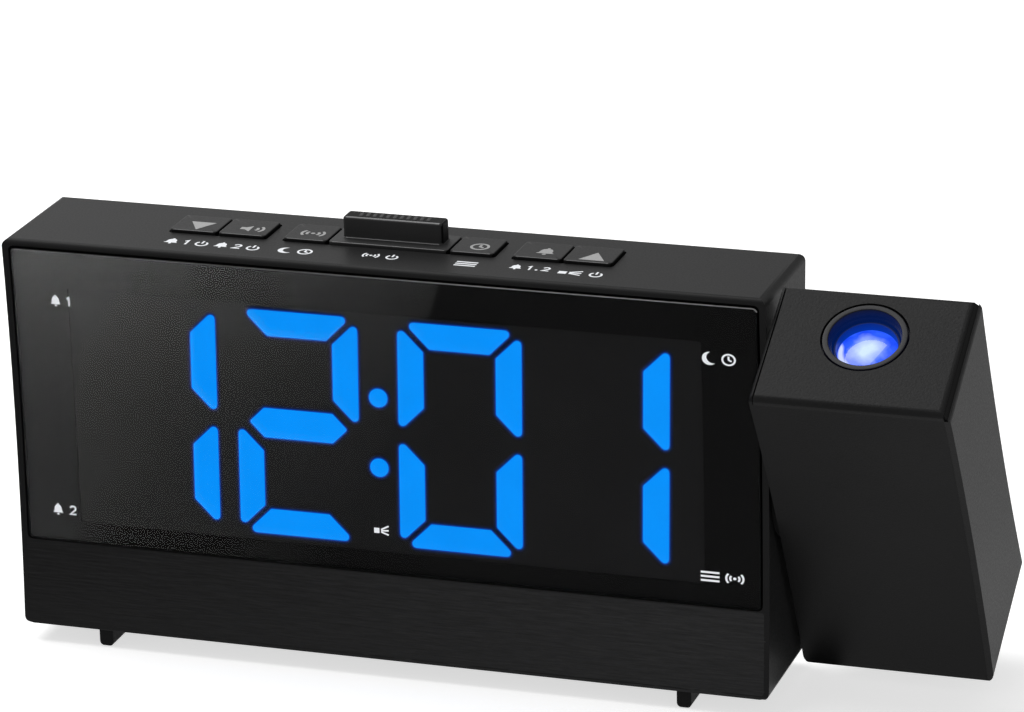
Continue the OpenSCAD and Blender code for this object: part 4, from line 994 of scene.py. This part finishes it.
BARREL_TOP = HEAD_TOP - 3
RING = [(7.3, -13, 1.0), (7.3, -2.2, 0.5), (7.7, -2.2, 0.5), (7.7, -0.3, 0.2), (7.78, -0.1, 0), (7.95, 0, 0),
        (8.75, 0, 0), (8.93, -0.08, 0), (9.0, -0.25, 0), (9.0, -2.2, 0), (10.0, -2.2, 0), (10.0, -3.4, 0),
        (8.4, -3.4, 0), (8.4, -12.99, 0), (7.3, -13, 1.0)]
BARREL = [(5.62, -12, 1.0), (7.22, -12, 0.5), (7.22, -0.25, 0.5), (7.1, -0.08, 0.5), (6.95, 0, 0.5),
          (6.7, 0, 0.55), (6.55, -0.12, 0.7), (6.52, -5.2, 1.0), (5.62, -5.2, 1.0), (5.62, -12, 1.0)]
for name, profile, top, node in (("turning_ring", RING, HEAD_TOP, "focus_ring"),
                                 ("barrel_tube", BARREL, BARREL_TOP, "lens_barrel")):
    bm = bmesh.new()
    lathe(bm, profile, top)
    bmesh.ops.remove_doubles(bm, verts=bm.verts, dist=1e-4)
    piece(name, bm, ["lit_bore"], node, [node])

LENS_R, LENS_DOME, LENS_TOP = 6.5, 1.5, BARREL_TOP - 0.8
LENS_DEPTH, LENS_FLAT = 4.3, 0.2            # its height and the flat spot on its dome
DOME_STEPS = 12


def make_lens():
    """A domed lens, with each corner's place across it written in the strip map."""
    bm = bmesh.new()
    angles = [math.pi / 2 * k / DOME_STEPS for k in range(DOME_STEPS)]
    dome = [(LENS_R * math.cos(a), -LENS_DOME * (1 - math.sin(a)), 0) for a in angles]
    rings = lathe(bm, [(LENS_R, -LENS_DEPTH, 0)] + dome + [(LENS_FLAT, 0, 0)], LENS_TOP)
    bm.faces.new(rings[-1])
    bm.faces.new(list(reversed(rings[0])))
    strip = bm.loops.layers.uv.get("strip")
    axis = on_lens(0, 0, 0)
    for f in bm.faces:
        for loop in f.loops:
            d = loop.vert.co - axis
            loop[strip].uv = (d.x / LENS_R, (d.y * math.cos(TILT) + d.z * math.sin(TILT)) / LENS_R)
    piece("lit_lens", bm, ["lens_lit"], "lens_barrel", ["projection_lens"])


make_lens()

# ---------- stage and lights ----------


def white_where_seen(tree, seen, lit):
    """Picks one shader for camera, glossy and transmission rays and the other for the rest."""
    path = add(tree, "ShaderNodeLightPath")
    a = calc(tree, "MAXIMUM", path.outputs["Is Camera Ray"], path.outputs["Is Glossy Ray"])
    mix = add(tree, "ShaderNodeMixShader")
    tree.links.new(calc(tree, "MAXIMUM", a, path.outputs["Is Transmission Ray"]), mix.inputs["Fac"])
    tree.links.new(lit, mix.inputs[1])
    tree.links.new(seen, mix.inputs[2])
    return mix.outputs[0]


WORLD_LIGHT = 0.22
WORLD_SEEN = (1.25, 0.55)                   # brightness that reflections find to the left and to the right
WORLD_TURN = (-0.45, -0.2)                  # and the directions where it changes
FLOOR_GREY = 0.8
FLOOR_LIFT = (0.65, 1.0)                    # light added to the floor near the clock and far from it
FLOOR_FAR = (0.4, 0.9)                      # and the distances where it changes, in metres
FLOOR_SEEN = 1.0                            # the floor's brightness in reflections
FLOOR_REACH, FLOOR_Z = 6.0, -0.0002


def make_world():
    """White where the camera looks, brighter to the left in reflections, and a faint even light."""
    w = bpy.data.worlds.new("studio")
    bpy.context.scene.world = w
    w.use_nodes = True
    t = w.node_tree
    t.nodes.clear()
    seen = add(t, "ShaderNodeBackground")
    seen.inputs["Color"].default_value = (1, 1, 1, 1)
    tc = add(t, "ShaderNodeTexCoord")
    parts = add(t, "ShaderNodeSeparateXYZ")
    t.links.new(tc.outputs["Generated"], parts.inputs[0])
    mirrored_sky = spread(t, parts.outputs["X"], *WORLD_SEEN, *WORLD_TURN)
    t.links.new(calc(t, "MAXIMUM", mirrored_sky, add(t, "ShaderNodeLightPath").outputs["Is Camera Ray"]),
                seen.inputs["Strength"])
    lit = add(t, "ShaderNodeBackground")
    lit.inputs["Color"].default_value = (1, 1, 1, 1)
    lit.inputs["Strength"].default_value = WORLD_LIGHT
    out = add(t, "ShaderNodeOutputWorld")
    t.links.new(white_where_seen(t, seen.outputs[0], lit.outputs[0]), out.inputs["Surface"])


def flat_stage(name, points, z, m):
    me = bpy.data.meshes.new(name)
    me.from_pydata([(x, y, 0) for x, y in points], [], [tuple(range(len(points)))])
    me.materials.append(m)
    o = bpy.data.objects.new(name, me)
    o.location.z = z
    bpy.context.scene.collection.objects.link(o)
    return o


def make_floor():
    """Pale floor that takes soft shadows, and is plain light in reflections."""
    m, t = new_material("floor_paper")
    base = add(t, "ShaderNodeBsdfDiffuse")
    base.inputs["Color"].default_value = (FLOOR_GREY, FLOOR_GREY, FLOOR_GREY, 1)
    lift = add(t, "ShaderNodeEmission")
    far = add(t, "ShaderNodeVectorMath", operation="LENGTH")
    t.links.new(add(t, "ShaderNodeTexCoord").outputs["Object"], far.inputs[0])
    t.links.new(spread(t, far.outputs["Value"], *FLOOR_LIFT, *FLOOR_FAR), lift.inputs["Strength"])
    both = add(t, "ShaderNodeAddShader")
    t.links.new(base.outputs[0], both.inputs[0])
    t.links.new(lift.outputs[0], both.inputs[1])
    white = add(t, "ShaderNodeEmission")
    white.inputs["Strength"].default_value = FLOOR_SEEN
    path = add(t, "ShaderNodeLightPath")
    pick = add(t, "ShaderNodeMixShader")
    t.links.new(path.outputs["Is Glossy Ray"], pick.inputs["Fac"])
    t.links.new(both.outputs[0], pick.inputs[1])
    t.links.new(white.outputs[0], pick.inputs[2])
    out = add(t, "ShaderNodeOutputMaterial")
    t.links.new(white_where_seen(t, pick.outputs[0], base.outputs[0]), out.inputs["Surface"])
    s = FLOOR_REACH
    flat_stage("floor", [(-s, -s), (s, -s), (s, s), (-s, s)], FLOOR_Z, m)


def only_mirrored(o):
    """Hides a stage piece from all rays but glossy ones."""
    for ray in ("camera", "diffuse", "transmission", "volume_scatter", "shadow"):
        setattr(o, "visible_" + ray, False)


CARD = [(-0.34, -0.205), (-0.0775, -0.205), (-0.0615, -0.076), (-0.34, -0.076)]
# the logarithm of its brightness is the sum of these times 1, x, y, x * x and y * y, in metres; they were
# fitted to the brightness of the window's sheen in the photograph
CARD_RISE = (0.54, -33.8, 36.6, -74.2, 147.3)
CARD_Z, SHADE_LIFT = 0.0003, 0.0001         # height of the papers, and of the shades over the card, in metres
SHADE_MARGIN = 0.05                         # how far a shade outgrows its bar, in millimetres


def make_card():
    """A lit card on the floor that only the window mirrors, for its slanting sheen."""
    m, t = new_material("card")
    tc = add(t, "ShaderNodeTexCoord")
    parts = add(t, "ShaderNodeSeparateXYZ")
    t.links.new(tc.outputs["Object"], parts.inputs[0])
    x, y = parts.outputs["X"], parts.outputs["Y"]
    rise = CARD_RISE[0]
    for k, power in zip(CARD_RISE[1:], (x, y, calc(t, "MULTIPLY", x, x), calc(t, "MULTIPLY", y, y))):
        rise = calc(t, "ADD", rise, calc(t, "MULTIPLY", power, k))
    light = add(t, "ShaderNodeEmission")
    t.links.new(calc(t, "EXPONENT", rise), light.inputs["Strength"])
    out = add(t, "ShaderNodeOutputMaterial")
    t.links.new(light.outputs[0], out.inputs["Surface"])
    o = flat_stage("card", CARD, CARD_Z, m)
    only_mirrored(o)
    group = bpy.data.collections.new("mirrors")
    group.objects.link(bpy.data.objects["window_pane"])
    o.light_linking.receiver_collection = group


def mirrored(p):
    """Where on the card the window mirrors the camera's line to a place on the display."""
    eye = EYE / MM
    d = p - eye
    cy = YF + CASE_SAG - CASE_ARC
    a, b = d.y ** 2 + d.z ** 2, d.y * (eye.y - cy) + d.z * (eye.z - ZC)
    c = (eye.y - cy) ** 2 + (eye.z - ZC) ** 2 - (CASE_ARC + WINDOW_STEPS[-1][1]) ** 2
    hit = eye + d * ((math.sqrt(b * b - a * c) - b) / a)
    n = Vector((0, cy - hit.y, ZC - hit.z)).normalized()
    r = d - n * (2 * d.dot(n))
    return (hit - r * (hit.z / r.z)) * MM


def paper(name, brightness):
    """Material that gives off an even light, whatever falls on it."""
    m, t = new_material(name)
    light = add(t, "ShaderNodeEmission")
    light.inputs["Strength"].default_value = brightness
    out = add(t, "ShaderNodeOutputMaterial")
    t.links.new(light.outputs[0], out.inputs["Surface"])
    return m


GREY_PAPER = 0.7
SIDE_SHADE = [(0.066, 0.0), (0.073, 0.0), (0.077, 0.026), (0.112, 0.026), (0.112, 0.15), (0.066, 0.15)]
HEAD_SHADE = [(0.135, 0.09), (0.3, 0.09), (0.3, 0.45), (0.135, 0.45)]


def make_shades():
    """Dark paper on the floor: over the card where it would veil the digits, and beside the clock."""
    black, grey = paper("black_paper", 0), paper("grey_paper", GREY_PAPER)
    for k, outline in enumerate(lit_outlines()):
        spot = [mirrored(Vector(on_display(x, y, HALO_FACE))) for x, y in grow(outline, SHADE_MARGIN)]
        corners = [(p.x, p.y) for p in spot]
        only_mirrored(flat_stage("digit_shade_%d" % k, corners, CARD_Z + SHADE_LIFT, black))
    only_mirrored(flat_stage("side_shade", SIDE_SHADE, CARD_Z, black))
    only_mirrored(flat_stage("head_shade", HEAD_SHADE, CARD_Z, grey))


LAMPS = [                                   # place, aim, width and height in metres, and watts
    ("top_lamp", (-0.5, 0.15, 1.2), (0, 0, 0.05), (1.1, 1.1), 13.5),
    ("right_lamp", (1.1, -0.25, 0.045), (0.1, 0, 0.05), (0.3, 0.08), 0.65),
    ("front_lamp", (0.7, -1.3, 0.5), (0, 0, 0.05), (0.8, 0.8), 0.9)]


def lamp(name, place, aim, size, watts):
    d = bpy.data.lights.new(name, "AREA")
    d.shape = "RECTANGLE"
    d.size, d.size_y = size
    d.energy = watts
    o = bpy.data.objects.new(name, d)
    o.location = place
    o.rotation_mode = "QUATERNION"
    o.rotation_quaternion = (Vector(aim) - Vector(place)).to_track_quat("-Z", "Y")
    bpy.context.scene.collection.objects.link(o)


make_world()
make_floor()
make_card()
make_shades()
for values in LAMPS:
    lamp(*values)

# ---------- view transform ---

bpy.context.scene.view_settings.view_transform = "Standard"
